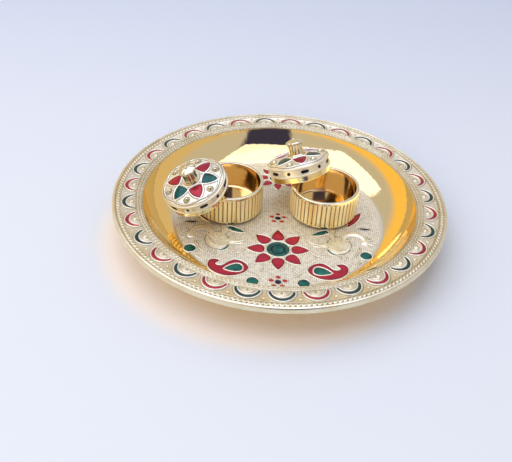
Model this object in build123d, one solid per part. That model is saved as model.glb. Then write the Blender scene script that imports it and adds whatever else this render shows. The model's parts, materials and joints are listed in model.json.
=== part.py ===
from build123d import *
import os
from math import asin, cos, degrees, radians, sin, sqrt, tan

# A puja thali: a plated dish with enamel cells, and two loose reeded bowls with their lids propped on them.
# Lengths are in millimetres, angles in degrees. +Z is up, the origin is the middle of the plate's underside
# and the front of the pattern is -Y. The pattern's places are shares of the floor's radius, and the bowls'
# places are shares of the well's.

# Plate, from the middle outwards
floor_radius = 65.0
floor_thickness = 2.4
foot_radius = 60.0
foot_width = 3.0
foot_height = 1.2
well_depth = 16.8
well_curve_radius = 34.0
plate_wall = 1.8
border_bead_width = 1.2
border_bead_height = 0.5
border_width = 4.5
border_rise = 1.2
border_margin = 0.5
rope_width = 3.0
rope_height = 0.5
rope_margin = 0.2
edge_width = 1.6
edge_rise = 0.3
edge_round = 1.2
plate_radius = 100.0
lip_drop = 3.6
relief_height = 0.5

# Enamel cells
cell_depth = 0.8
cell_clearance = 0.05
cutter_overrun = 1.0

# Rim scallops, the first one at the front
scallop_count = 31
scallop_radius = 6.8
scallop_thickness = 1.8
scallop_end_thickness = 1.0
scallop_margin = 1.4
scallop_spread_angle = 176.0
scallop_first_angle = -89.4
front_angle = -90.0

# Large flower, and the one behind the bowls
flower_place_share = -0.469
flower_boss_radius = 6.7
flower_petal_count = 8
flower_petal_inner_radius = 8.0
flower_petal_length = 10.5
flower_petal_width = 7.5
back_flower_place_share = 0.692
back_boss_radius = 5.4
back_petal_inner_radius = 6.6
back_petal_length = 7.4
back_petal_width = 5.0

# Small flowers, round petals about a round middle
small_flower_place_shares = (0.0, -0.915)
small_middle_radius = 1.9
small_petal_count = 5
small_petal_radius = 1.3
small_petal_ring_radius = 4.0

# Motifs that come in mirrored pairs; each place is that of the right-hand one
dot_radius = 3.3
dot_place_shares = ((0.792, -0.508), (0.220, -0.918))
paisley_length = 23.0
paisley_place_shares = (0.369, -0.746)
paisley_outline_shares = (
    (0.013, 0.287), (-0.300, 0.004), (-0.074, -0.257), (0.261, -0.309), (0.578, -0.148), (0.696, 0.100),
    (0.574, 0.287), (0.426, 0.226), (0.522, 0.122), (0.409, 0.043), (0.248, 0.143))
drop_place_shares = (-0.152, 0.022)
drop_length = 10.2
drop_width = 6.5
drop_angle = -11.0
drop_outline_width = 1.0
leaf_place_shares = (0.308, -0.246)
leaf_length = 14.3
leaf_width = 3.4
leaf_angle = 24.8
sickle_place_shares = (0.531, -0.438)
sickle_radius = 5.4
sickle_thickness = 1.2
sickle_end_thickness = 0.5
sickle_spread_angle = 95.0
sickle_angle = 225.0
tip_place_shares = (0.754, -0.108)
tip_length = 8.0
tip_width = 1.7
tip_angle = -3.6
feather_place_shares = (0.654, -0.092)
feather_length = 18.2
feather_width = 4.0
feather_angle = 58.5

# Bowls
bowl_radius = 21.0
bowl_height = 19.0
bowl_wall = 1.9
bowl_floor = 1.8
bowl_rim_height = 1.8
bowl_base_height = 1.2
reed_count = 48
reed_depth = 0.6
rest_gap = 0.3
left_bowl_place_shares = (-0.378, 0.127)
right_bowl_place_shares = (0.342, 0.125)

# Lids, each propped with the bowl's rim between the plug's walls
lid_setback = 1.6
lid_height = 7.2
lid_roof = 3.0
lid_edge_round = 1.4
lid_crown_height = 2.6
lid_bead_radius = 0.6
lid_bead_height_shares = (0.1, 0.78)
lid_ridge_radius = 0.5
lid_ridge_share = 0.905
plug_clearance = 0.3
plug_wall = 1.4
plug_depth = 2.6
plug_plate = 0.8
plug_step = 1.8
seat_clearance = 0.1
left_lid_reach = 22.3
left_lid_lean_angle = -146.5
left_lid_turn_angle = -70.5
right_lid_reach = 21.8
right_lid_lean_angle = 135.0
right_lid_turn_angle = -78.6

# Lid decoration
lid_petal_count = 6
lid_petal_inner_radius = 7.1
lid_petal_corner_radius = 8.4
lid_petal_corner_angle = 26.8
lid_petal_tip_radius = 16.2
lid_petal_swell = 1.3
lid_boss_radius = 1.6
lid_boss_sink_share = 0.4
lid_boss_ring_share = 0.78
skirt_cell_depth = 0.5
skirt_cell_height = 3.2
skirt_dash_length = 5.0
skirt_dash_height = 1.9
skirt_dot_radius = 1.1

# Knob
knob_radius = 4.8
knob_height = 8.6
knob_flute_count = 8
knob_flute_depth = 0.5
knob_flange_width = 0.8
knob_flange_height = 0.9
knob_dome_height = 1.6
finial_radius = 1.0
stem_radius = 1.6

# Shares that shape a petal: how far its round end and its shoulders swell, and where the shoulders lie
petal_end_swell_share = 0.74
petal_shoulder_swell_share = 0.56
petal_shoulder_place_share = 0.55

# Radii of the brim's bands from the edge inwards, and other sizes that follow from those above
rope_inner_radius = plate_radius - edge_width - rope_margin - rope_width
scallop_centre_radius = rope_inner_radius - scallop_margin - scallop_radius
border_outer_radius = scallop_centre_radius - border_margin
well_radius = border_outer_radius - border_width
floor_top = foot_height + floor_thickness
well_top = floor_top + well_depth
brim_top = well_top + border_rise
edge_top = brim_top + edge_rise
bowl_bottom = floor_top + relief_height + rest_gap
bowl_top = bowl_bottom + bowl_height
bowl_inner_radius = bowl_radius - bowl_wall
lid_radius = bowl_radius - lid_setback
plug_radius = bowl_inner_radius - plug_clearance
plug_inner_radius = plug_radius - plug_wall
plug_disc_radius = plug_radius - plug_step
lid_top_height = plug_plate + lid_height
lid_hollow_height = lid_height - lid_roof
lid_crown_radius = lid_ridge_share * lid_radius
lid_crown_sphere = (lid_crown_radius ** 2 + lid_crown_height ** 2) / (2 * lid_crown_height)
lid_crown_centre = lid_top_height + lid_crown_height - lid_crown_sphere
knob_seat_radius = knob_radius + knob_flange_width + seat_clearance
UP = (0, 0, 1)


def polar(radius, angle):
    """The point at a radius and an angle about the origin."""
    return (radius * cos(radians(angle)), radius * sin(radians(angle)))


def face_of(*curves):
    """The flat face inside curves that meet end to end."""
    return make_face([edge for curve in curves for edge in curve.edges()])


def petal(length, width, margin):
    """A petal along +X from its round end at the origin to its tip, with a margin round it."""
    long, wide = length + 2 * margin, width + 2 * margin
    shoulder = (long * petal_shoulder_place_share, wide * petal_shoulder_swell_share)
    side = Bezier((0, 0), (0, wide * petal_end_swell_share), shoulder, (long, 0))
    return Pos(-margin, 0) * face_of(side, mirror(side, about=Plane.XZ))


def lens(length, width):
    """A leaf along +X, pointed at both ends."""
    upper = SagittaArc((0, 0), (length, 0), width / 2)
    lower = SagittaArc((0, 0), (length, 0), -width / 2)
    return face_of(upper, lower)


def crescent(radius, thickness, end_thickness, spread):
    """A moon about the origin, thickest on +X, whose ends lie half the spread to each side."""
    outer = CenterArc((0, 0), radius, -spread / 2, spread)
    ends = [polar(radius - end_thickness, side * spread / 2) for side in (-1, 1)]
    inner = ThreePointArc(ends[0], (radius - thickness, 0), ends[1])
    return face_of(outer, inner, Line(outer @ 0, inner @ 0), Line(outer @ 1, inner @ 1))


def fan(inner_radius, corner_radius, corner_angle, tip_radius, swell):
    """A petal about the origin along +X: a wide inner end with two corners, and swelling sides to a tip."""
    low, high = [polar(corner_radius, side * corner_angle) for side in (-1, 1)]
    tip = (tip_radius, 0)
    inner = ThreePointArc(low, (inner_radius, 0), high)
    return face_of(inner, SagittaArc(high, tip, swell), SagittaArc(low, tip, -swell))


def reeded(radius, depth, count):
    """A disc whose edge is a row of convex reeds."""
    step = 360 / count
    reeds = []
    for index in range(count):
        start = polar(radius - depth, index * step)
        crown = polar(radius, (index + 1 / 2) * step)
        end = polar(radius - depth, (index + 1) * step)
        reeds.append(ThreePointArc(start, crown, end))
    return face_of(*reeds)


def widened(face, clearance):
    """A face of straight and round edges with a clearance added all round it."""
    return offset(face, clearance) if clearance else face


def paisley(clearance):
    """The paisley's curled outline with a hole for its drop, both widened by a clearance."""
    points = [Vector(x, y) * paisley_length for x, y in paisley_outline_shares]
    outline = []
    for before, point, after in zip(points[-1:] + points[:-1], points, points[1:] + points[:1]):
        along = (after - before).normalized()
        outline.append(point + Vector(along.Y, -along.X) * clearance)
    return face_of(Spline(*outline, periodic=True)) - drop(drop_outline_width - clearance)


def drop(margin):
    """The drop inside the paisley, with a margin round it."""
    x, y = drop_place_shares
    place = Pos(x * paisley_length, y * paisley_length) * Rot(0, 0, drop_angle)
    return place * petal(drop_length, drop_width, margin)


def on_floor(shares):
    """The place on the floor at shares of its radius."""
    return Pos(shares[0] * floor_radius, shares[1] * floor_radius)


def in_well(shares):
    """The place inside the well at shares of its radius."""
    return Pos(shares[0] * well_radius, shares[1] * well_radius)


def pair(shares, turn, face):
    """A face turned and placed on the floor, and its mirror image on the left."""
    right = on_floor(shares) * Rot(0, 0, turn) * face
    return [right, mirror(right, about=Plane.YZ)]


def ring_of(face, count, radius, first_angle=0):
    """Copies of a face around the origin, each turned outwards."""
    angles = [first_angle + index * 360 / count for index in range(count)]
    return [Rot(0, 0, angle) * Pos(radius, 0) * face for angle in angles]


def small_flowers(face, count, radius):
    """Copies of a face around the middle of each small flower, the first at its back."""
    places = [on_floor((0, share)) for share in small_flower_place_shares]
    return [place * item for place in places for item in ring_of(face, count, radius, -front_angle)]


def fills(faces, top):
    """Enamel that fills the cells up to a height."""
    return [extrude(Pos(0, 0, top - cell_depth) * face, cell_depth, dir=UP) for face in faces]


def cutters(faces, top):
    """Cutters for the cells' pockets, which run out above the height."""
    bottom = Pos(0, 0, top - cell_depth)
    return [extrude(bottom * face, cell_depth + cutter_overrun, dir=UP) for face in faces]


def flower(shares, inner_radius, length, width, clearance):
    """The petals of a flower on the floor."""
    face = petal(length, width, clearance)
    return [on_floor(shares) * item for item in ring_of(face, flower_petal_count, inner_radius)]


def floor_cells(clearance):
    """The outlines of the floor's cells, by node, with a clearance round each."""
    front, back = (0, flower_place_share), (0, back_flower_place_share)
    dot = Circle(dot_radius + clearance)
    small_petal = Circle(small_petal_radius + clearance)
    leaf = widened(lens(leaf_length, leaf_width), clearance)
    sickle = crescent(sickle_radius, sickle_thickness, sickle_end_thickness, sickle_spread_angle)
    tip = widened(lens(tip_length, tip_width), clearance)
    feather = widened(lens(feather_length, feather_width), clearance)
    return {
        "flower_boss": [on_floor(front) * Circle(flower_boss_radius + clearance)],
        "flower_petals": flower(
            front, flower_petal_inner_radius, flower_petal_length, flower_petal_width, clearance),
        "back_flower_boss": [on_floor(back) * Circle(back_boss_radius + clearance)],
        "back_flower_petals": flower(
            back, back_petal_inner_radius, back_petal_length, back_petal_width, clearance),
        "small_flower_middles": small_flowers(Circle(small_middle_radius + clearance), 1, 0),
        "small_flower_petals": small_flowers(small_petal, small_petal_count, small_petal_ring_radius),
        "green_dots": [item for shares in dot_place_shares for item in pair(shares, 0, dot)],
        "paisley_bodies": pair(paisley_place_shares, 0, paisley(clearance)),
        "paisley_drops": pair(paisley_place_shares, 0, drop(clearance)),
        "green_leaves": pair(leaf_place_shares, leaf_angle, leaf),
        "green_sickles": pair(sickle_place_shares, sickle_angle, widened(sickle, clearance)),
        "dark_tips": pair(tip_place_shares, tip_angle, tip),
        "red_feathers": pair(feather_place_shares, feather_angle, feather),
    }


def rim_cells(clearance):
    """The scallops' outlines, by node: green and red in turn from the front round to it again."""
    moon = crescent(scallop_radius, scallop_thickness, scallop_end_thickness, scallop_spread_angle)
    face = widened(moon, clearance)
    scallops = ring_of(face, scallop_count, scallop_centre_radius, scallop_first_angle)
    return {"rim_scallops_green": scallops[0::2], "rim_scallops_red": scallops[1::2]}


def well_arcs():
    """The well wall's inner and outer arcs in the section, about one centre."""
    low, high = Vector(floor_radius, floor_top), Vector(well_radius, well_top)
    chord = high - low
    inward = Vector(-chord.Y, chord.X).normalized()
    centre = (low + high) / 2 + inward * sqrt(well_curve_radius ** 2 - (chord.length / 2) ** 2)
    outer_radius = well_curve_radius + plate_wall
    inner = ThreePointArc(low, centre - inward * well_curve_radius, high)
    start = centre + (low - centre) * (outer_radius / well_curve_radius)
    end_angle = degrees(asin((brim_top - plate_wall - centre.Y) / outer_radius))
    end = centre + Vector(*polar(outer_radius, end_angle))
    return inner, ThreePointArc(start, centre - inward * outer_radius, end)


def ridge(inner_radius, width, base, height):
    """A low round ridge of the brim on a base height, in the section."""
    crown = (inner_radius + width / 2, base + height)
    return ThreePointArc((inner_radius, base), crown, (inner_radius + width, base))


def plate_blank():
    """The dish before its cells are cut: its section turned about the axis."""
    well, shell = well_arcs()
    bead = ridge(well_radius, border_bead_width, well_top, border_bead_height)
    rope = ridge(rope_inner_radius, rope_width, brim_top, rope_height)
    edge_inner_radius = plate_radius - edge_width
    lip_inner_radius = plate_radius - plate_wall
    lip_bottom = edge_top - lip_drop
    foot_inner_radius = foot_radius - foot_width
    rounding = CenterArc((plate_radius - edge_round, edge_top - edge_round), edge_round, 0, 90)
    top = [
        Line((0, floor_top), well @ 0), well, bead,
        Polyline(bead @ 1, (border_outer_radius, brim_top), rope @ 0), rope,
        Polyline(rope @ 1, (edge_inner_radius, brim_top), (edge_inner_radius, edge_top), rounding @ 1),
        rounding]
    underside = [
        Polyline(
            rounding @ 0, (plate_radius, lip_bottom), (lip_inner_radius, lip_bottom),
            (lip_inner_radius, brim_top - plate_wall), shell @ 1),
        shell,
        Polyline(
            shell @ 0, (foot_radius, foot_height), (foot_radius, 0), (foot_inner_radius, 0),
            (foot_inner_radius, foot_height), (0, foot_height), (0, floor_top))]
    return revolve(Plane.XZ * face_of(*top, *underside), Axis.Z)


def plate():
    """The dish with a pocket for each cell."""
    pockets = []
    for faces in floor_cells(cell_clearance).values():
        pockets += cutters(faces, floor_top)
    for faces in rim_cells(cell_clearance).values():
        pockets += cutters(faces, brim_top)
    return plate_blank() - pockets


def upright(radius, height, bottom=0):
    """A cylinder about the Z axis that stands on a height."""
    return Pos(0, 0, bottom) * Cylinder(radius, height, align=(Align.CENTER, Align.CENTER, Align.MIN))


def bowl():
    """A bowl with a smooth rim and foot and a reeded wall, standing on the origin."""
    reeds_height = bowl_height - bowl_rim_height - bowl_base_height
    reeds = extrude(reeded(bowl_radius, reed_depth, reed_count), reeds_height, dir=UP)
    body = upright(bowl_radius - reed_depth, bowl_height) + Pos(0, 0, bowl_base_height) * reeds
    body += upright(bowl_radius, bowl_rim_height, bowl_height - bowl_rim_height)
    return body - upright(bowl_inner_radius, bowl_height, bowl_floor)


def crown(sink=0):
    """The ball whose top is the lid's crown, sunk by a depth."""
    return Pos(0, 0, lid_crown_centre - sink) * Sphere(lid_crown_sphere)


def crown_top(radius):
    """The height of the lid's crown at a distance from its axis."""
    return lid_crown_centre + sqrt(lid_crown_sphere ** 2 - radius ** 2)


def lid_petals(clearance):
    """The petals' outlines on the lid's top, with a clearance round each."""
    face = fan(
        lid_petal_inner_radius, lid_petal_corner_radius, lid_petal_corner_angle, lid_petal_tip_radius,
        lid_petal_swell)
    return ring_of(widened(face, clearance), lid_petal_count, 0)


def petal_cells(clearance):
    """The petals' cells, from their depth under the crown to above it, with a clearance round each."""
    bottom = Pos(0, 0, lid_top_height - cell_depth)
    height = cell_depth + lid_crown_height + cutter_overrun
    columns = [extrude(bottom * face, height, dir=UP) for face in lid_petals(clearance)]
    return [column - crown(cell_depth) for column in columns]


def skirt_cells(clearance):
    """Dashes and dots on the lid's skirt, from their depth outwards, with a clearance round each."""
    side = Plane.YZ.offset(lid_radius - skirt_cell_depth) * Pos(0, plug_plate + skirt_cell_height)
    dash = SlotOverall(skirt_dash_length + 2 * clearance, skirt_dash_height + 2 * clearance)
    shapes = [dash, Circle(skirt_dot_radius + clearance)]
    cells = []
    for index in range(2 * lid_petal_count):
        turn = Rot(0, 0, index * 180 / lid_petal_count)
        cells.append(turn * extrude(side * shapes[index % 2], skirt_cell_depth + cutter_overrun))
    return cells


def lid_cap():
    """The cap's outside on the plug's plate, with beads round its skirt and a ridge round its crown."""
    cap = upright(lid_radius, lid_height, plug_plate)
    cap = fillet(cap.edges().group_by(Axis.Z)[-1], lid_edge_round)
    for share in lid_bead_height_shares:
        cap += Pos(0, 0, plug_plate + share * lid_height) * Torus(lid_radius, lid_bead_radius)
    crown_bottom = lid_top_height - lid_ridge_radius
    cap += crown() & upright(lid_crown_radius, lid_ridge_radius + lid_crown_height, crown_bottom)
    return cap + Pos(0, 0, lid_top_height) * Torus(lid_crown_radius, lid_ridge_radius)


def lid_top():
    """The cap with its bosses, the plug's hollow, the knob's seat and hole, and pockets for its cells."""
    cap = lid_cap()
    boss_ring_radius = lid_boss_ring_share * lid_radius
    boss_height = crown_top(boss_ring_radius) - lid_boss_sink_share * lid_boss_radius
    for index in range(lid_petal_count):
        x, y = polar(boss_ring_radius, (index + 1 / 2) * 360 / lid_petal_count)
        cap += Pos(x, y, boss_height) * Sphere(lid_boss_radius)
    cap -= upright(plug_disc_radius + seat_clearance, lid_hollow_height, plug_plate)
    cap -= upright(stem_radius + seat_clearance, lid_height + lid_crown_height, plug_plate)
    cap -= upright(knob_seat_radius, lid_crown_height, crown_top(knob_seat_radius))
    return cap - petal_cells(cell_clearance) - skirt_cells(cell_clearance)


def lid_plug():
    """The plug: a disc that fills the cap's hollow, a plate under it, and a ring that goes into the bowl."""
    plug = upright(plug_disc_radius, plug_plate + lid_hollow_height)
    plug += upright(plug_radius, plug_plate + plug_depth, -plug_depth)
    return plug - upright(plug_inner_radius, plug_depth, -plug_depth)


def lid_knob():
    """The fluted knob on the lid, with its dome, its finial and the stem through the cap."""
    seat_height = crown_top(knob_seat_radius)
    stem_height = seat_height - plug_plate - lid_hollow_height
    dome_base = knob_radius - knob_flute_depth
    dome_sphere = (dome_base ** 2 + knob_dome_height ** 2) / (2 * knob_dome_height)
    dome_bottom = knob_height - knob_dome_height
    dome = Pos(0, 0, knob_height - dome_sphere) * Sphere(dome_sphere)
    knob = extrude(reeded(knob_radius, knob_flute_depth, knob_flute_count), dome_bottom, dir=UP)
    knob += upright(knob_radius + knob_flange_width, knob_flange_height)
    knob += dome & upright(dome_base, knob_dome_height, dome_bottom)
    knob += Pos(0, 0, knob_height + finial_radius / 2) * Sphere(finial_radius)
    knob += upright(stem_radius, stem_height, -stem_height)
    return Pos(0, 0, seat_height) * knob


def lid_nodes():
    """The lid's pieces about its own axis, by node."""
    petals = [cell & crown() for cell in petal_cells(0)]
    skirt = [cell & upright(lid_radius, lid_height, plug_plate) for cell in skirt_cells(0)]
    return {
        "lid_top": [lid_top()],
        "lid_plug": [lid_plug()],
        "lid_knob": [lid_knob()],
        "lid_petals_red": petals[0::2],
        "lid_petals_green": petals[1::2],
        "lid_skirt_cells": skirt,
    }


def lid_place(bowl_place, reach, lean, turn):
    """Where a propped lid lies: its plug's ring and ceiling clear the bowl's rim by the rest gap.

    The ring crosses the rim at two points, and the ceiling meets it at the outermost one. The distance
    between them and the plug's depth give the tilt.
    """
    crossing = (reach ** 2 + bowl_radius ** 2 - plug_inner_radius ** 2) / (2 * reach)
    tilt = asin(plug_depth / (bowl_radius - crossing))
    height = bowl_top + rest_gap / cos(tilt) + (bowl_radius - reach) * tan(tilt)
    x, y = polar(reach, lean)
    leaning = Rot(0, 0, lean) * Rot(0, degrees(tilt), 0) * Rot(0, 0, turn - lean)
    return bowl_place * Pos(x, y, height) * leaning


def all_nodes():
    """Every piece of the thali in its place, by node."""
    nodes = {"thali_plate": [plate()]}
    for name, faces in floor_cells(0).items():
        nodes[name] = fills(faces, floor_top)
    for name, faces in rim_cells(0).items():
        nodes[name] = fills(faces, brim_top)
    sides = {
        "left": (left_bowl_place_shares, left_lid_reach, left_lid_lean_angle, left_lid_turn_angle),
        "right": (right_bowl_place_shares, right_lid_reach, right_lid_lean_angle, right_lid_turn_angle),
    }
    lid = lid_nodes()
    for side, (shares, reach, lean, turn) in sides.items():
        place = in_well(shares)
        nodes[f"{side}_bowl"] = [place * Pos(0, 0, bowl_bottom) * bowl()]
        lid_location = lid_place(place, reach, lean, turn)
        for name, shapes in lid.items():
            nodes[f"{side}_{name}"] = [lid_location * shape for shape in shapes]
    return nodes


os.makedirs("parts", exist_ok=True)
for node, shapes in all_nodes().items():
    solids = [solid for shape in shapes for solid in shape.solids()]
    export_step(Compound(solids), f"parts/{node}.step")
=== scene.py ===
import json
import logging
from dataclasses import dataclass
from enum import Enum
from functools import cached_property
from typing import Dict, List, Sequence, Tuple, Union

import bmesh
import bpy
import numpy as np
from mathutils import Matrix, Vector


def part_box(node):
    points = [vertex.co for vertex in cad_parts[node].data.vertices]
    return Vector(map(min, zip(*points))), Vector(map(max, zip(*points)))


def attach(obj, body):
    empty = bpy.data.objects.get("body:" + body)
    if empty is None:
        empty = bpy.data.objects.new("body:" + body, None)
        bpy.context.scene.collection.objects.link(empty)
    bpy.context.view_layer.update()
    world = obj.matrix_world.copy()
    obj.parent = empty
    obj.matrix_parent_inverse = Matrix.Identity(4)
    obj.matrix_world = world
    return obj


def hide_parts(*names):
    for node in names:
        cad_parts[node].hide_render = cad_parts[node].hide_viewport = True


# Looks of a puja thali: a gold-plated dish with enamel cells, and two reeded bowls with lids propped on them.
# Lengths are millimetres in the part's own frame and angles are degrees; meshes are written in metres.

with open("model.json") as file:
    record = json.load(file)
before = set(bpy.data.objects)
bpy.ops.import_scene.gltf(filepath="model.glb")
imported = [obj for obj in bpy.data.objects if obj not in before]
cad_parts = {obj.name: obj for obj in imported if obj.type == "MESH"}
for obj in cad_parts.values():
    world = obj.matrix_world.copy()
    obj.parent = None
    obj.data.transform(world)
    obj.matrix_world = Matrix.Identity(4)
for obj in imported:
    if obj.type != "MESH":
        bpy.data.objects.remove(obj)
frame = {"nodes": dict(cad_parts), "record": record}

LOG = logging.getLogger("thali")
MM = 0.001
WELD_MM = 0.002
SHARP_ANGLE = 42.0
TURN = 2 * np.pi
QUARTER_CUT = 1 - np.sqrt(0.5)

Array = np.ndarray
Colour = Tuple[float, float, float]
Place = Tuple[float, float, float]
Point = Tuple[float, float]


class Side(Enum):
    """The two bowls and their lids, seen from the front."""

    LEFT = "left"
    RIGHT = "right"

    @property
    def sign(self) -> int:
        """-1 on the left, where X is negative, and 1 on the right."""
        return -1 if self is Side.LEFT else 1


# Curves in the plane

def spaced(count: int) -> Array:
    """Returns count even steps round a closed curve, from 0 up to but not 1."""
    return np.linspace(0, 1, count, endpoint=False)


def turned(points: Array, angle: float) -> Array:
    """Returns plane points turned anticlockwise about the origin by an angle."""
    cosine, sine = np.cos(np.radians(angle)), np.sin(np.radians(angle))
    return points @ np.array([[cosine, sine], [-sine, cosine]])


def polar(radius: float, angle: float) -> Array:
    """Returns the plane point at a radius and an angle about the origin."""
    return radius * np.array([np.cos(np.radians(angle)), np.sin(np.radians(angle))])


def arc_through(start: Point, middle: Point, end: Point, count: int = 20) -> Array:
    """The circular arc from start through middle to end, in equal steps of angle.

    The centre is equally far from the three points, which gives two linear equations.

    Args:
        start, middle, end: Plane points on the arc.
        count: How many points to give.

    Returns:
        Points of shape (count, 2).
    """
    points = np.array([start, middle, end], float)
    centre = np.linalg.solve(2 * (points[1:] - points[0]), (points[1:] ** 2 - points[0] ** 2).sum(1))
    reach = points - centre
    angles = np.unwrap(np.arctan2(reach[:, 1], reach[:, 0]))
    sweep = np.linspace(angles[0], angles[2], count)
    return centre + np.hypot(*reach[0]) * np.stack([np.cos(sweep), np.sin(sweep)], -1)


def swollen(start: Point, end: Point, swell: float, count: int = 20) -> Array:
    """The arc between two points whose middle stands off the straight way.

    Args:
        start, end: The arc's ends.
        swell: How far it bulges to the left of the way from start to end.
        count: How many points to give.

    Returns:
        Points of shape (count, 2).
    """
    along = np.subtract(end, start)
    left = np.array([-along[1], along[0]]) / np.hypot(*along)
    return arc_through(start, np.add(start, end) / 2 + left * swell, end, count)


def rounded(start: Point, corner: Point, end: Point, count: int, cut: float = QUARTER_CUT) -> Array:
    """The arc that rounds a square corner, a quarter circle unless its cut is given.

    Args:
        start, end: Where it leaves the corner's two sides, equally far from the corner.
        corner: The corner.
        count: How many points to give.
        cut: How far its middle lies in from each side, as a share of that distance.

    Returns:
        Points of shape (count, 2).
    """
    middle = np.array(corner) + cut * (np.add(start, end) - np.multiply(2, corner))
    return arc_through(start, middle, end, count)


def circle(radius: float, count: int = 56) -> Array:
    """Returns a circle about the origin."""
    angle = TURN * spaced(count)
    return radius * np.stack([np.cos(angle), np.sin(angle)], -1)


def closed(*stretches: Array) -> Array:
    """Joins stretches end to end into one closed outline.

    Args:
        *stretches: Plane points, each stretch starting where the one before it ends.

    Returns:
        The outline, anticlockwise, with each shared point once.
    """
    outline = np.concatenate([stretch[:-1] for stretch in stretches])
    following = np.roll(outline, -1, axis=0)
    area = (outline[:, 0] * following[:, 1] - outline[:, 1] * following[:, 0]).sum()
    return outline if area > 0 else outline[::-1]


def petal(length: float, width: float, count: int = 26) -> Array:
    """A petal along +X: two mirrored cubic Bezier curves from the round end at the origin to the tip.

    Args:
        length: Its length.
        width: Its width, which says how far the curves swell.
        count: How many points each curve has.

    Returns:
        Its closed outline.
    """
    end_swell, shoulder_swell, shoulder_place = 0.74, 0.56, 0.55
    share = np.linspace(0, 1, count)[:, None]
    swell = np.array([0, width * end_swell])
    shoulder = np.array([length * shoulder_place, width * shoulder_swell])
    tip = np.array([length, 0])
    upper = 3 * (1 - share) ** 2 * share * swell + 3 * (1 - share) * share ** 2 * shoulder + share ** 3 * tip
    return closed(upper, (upper * [1, -1])[::-1])


def lens(length: float, width: float) -> Array:
    """Returns a leaf along +X between two equal arcs, pointed at both ends."""
    return closed(swollen((0, 0), (length, 0), -width / 2), swollen((length, 0), (0, 0), -width / 2))


def fan(inner: float, corner: float, corner_angle: float, tip: float, swell: float) -> Array:
    """A petal about the origin with a wide inner end, two corners, and swelling sides up to a tip.

    Args:
        inner: Where the inner end crosses the X axis.
        corner: The corners' distance from the origin.
        corner_angle: The corners' angle on both sides of +X.
        tip: Where the tip lies on +X.
        swell: How far the sides bulge.

    Returns:
        Its closed outline.
    """
    end_steps = 14
    low, high = polar(corner, -corner_angle), polar(corner, corner_angle)
    end = np.array([tip, 0.0])
    inner_end = arc_through(high, (inner, 0), low, end_steps)
    return closed(inner_end, swollen(low, end, -swell), swollen(end, high, -swell))


def closed_spline(points: Array, count: int) -> Array:
    """The smooth closed curve through points: a periodic cubic spline over the chords' lengths.

    Its second derivatives solve one equation per point, which makes the slopes of the two cubics there agree.

    Args:
        points: The points passed through, of shape (n, 2).
        count: How many points to give.

    Returns:
        Points of shape (count, 2), evenly spaced along the chords.
    """
    number = len(points)
    index = np.arange(number)
    following = np.roll(points, -1, axis=0)
    step = np.hypot(*(following - points).T)
    before = np.roll(step, 1)
    system = np.zeros((number, number))
    system[index, index] = 2 * (before + step)
    system[index, (index + 1) % number] = step
    system[index, index - 1] = before
    slope = (following - points) / step[:, None]
    bend = np.linalg.solve(system, 6 * (slope - np.roll(slope, 1, axis=0)))
    knots = np.concatenate([[0], np.cumsum(step)])
    place = knots[-1] * spaced(count)
    span = np.searchsorted(knots, place, side="right") - 1
    size = step[span][:, None]
    near, far = (knots[span + 1] - place)[:, None], (place - knots[span])[:, None]
    first, second = bend[span], bend[(span + 1) % number]
    return (
        (first * near ** 3 + second * far ** 3) / (6 * size)
        + (points[span] / size - first * size / 6) * near
        + (following[span] / size - second * size / 6) * far)


def right_of(along: Array) -> Array:
    """Returns the unit vectors to the right of some directions."""
    return np.stack([along[:, 1], -along[:, 0]], -1) / np.hypot(*along.T)[:, None]


def outward(outline: Array) -> Array:
    """Returns the unit normals of a closed anticlockwise outline, pointing out of it."""
    return right_of(np.roll(outline, -1, axis=0) - np.roll(outline, 1, axis=0))


def widened(outline: Array, margin: float) -> Array:
    """Returns a closed outline moved outwards by a margin."""
    return outline + outward(outline) * margin


def mirrored_pair(outline: Array, place: Point, angle: float = 0.0) -> List[Array]:
    """Returns an outline turned and placed on the right, and its mirror image on the left."""
    right = turned(outline, angle) + place
    return [right, (right * [-1, 1])[::-1]]


# Surfaces

@dataclass
class Shape:
    """Points and four-cornered faces of one or more surfaces, in millimetres."""

    points: Array
    faces: Array

    @staticmethod
    def grid(points: Array, closed_rows: bool, closed_columns: bool) -> "Shape":
        """A surface through a grid of points of shape (rows, columns, 3).

        Args:
            points: The grid.
            closed_rows: Whether the last row joins the first.
            closed_columns: Whether the last column joins the first.

        Returns:
            The surface, with a face between each four neighbours.
        """
        rows, columns = points.shape[:2]
        row = np.arange(rows if closed_rows else rows - 1)
        column = np.arange(columns if closed_columns else columns - 1)
        near, left = np.meshgrid(row, column, indexing="ij")
        far, right = (near + 1) % rows, (left + 1) % columns
        corners = [near * columns + left, near * columns + right, far * columns + right, far * columns + left]
        return Shape(points.reshape(-1, 3), np.stack(corners, -1).reshape(-1, 4))

    @staticmethod
    def capped(points: Array) -> "Shape":
        """Returns a tube through closed rows of points, with both ends drawn to their middles."""
        ends = points[[0, -1]].mean(1, keepdims=True) + np.zeros_like(points[[0, -1]])
        return Shape.grid(np.concatenate([ends[:1], points, ends[1:]]), False, True)

    @staticmethod
    def joined(shapes: Sequence["Shape"]) -> "Shape":
        """Joins several surfaces.

        Args:
            shapes: The surfaces.

        Returns:
            All of them as one.
        """
        starts = np.cumsum([0] + [len(shape.points) for shape in shapes[:-1]])
        faces = [shape.faces + start for shape, start in zip(shapes, starts)]
        return Shape(np.concatenate([shape.points for shape in shapes]), np.concatenate(faces))

    def moved(self, shift: Array) -> "Shape":
        """Returns the surface moved by a vector, or each of its points by its own."""
        return Shape(self.points + shift, self.faces)

    def placed(self, place: Array) -> "Shape":
        """Returns the surface moved by a 4 by 4 matrix."""
        return Shape(self.points @ place[:3, :3].T + place[:3, 3], self.faces)


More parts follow.
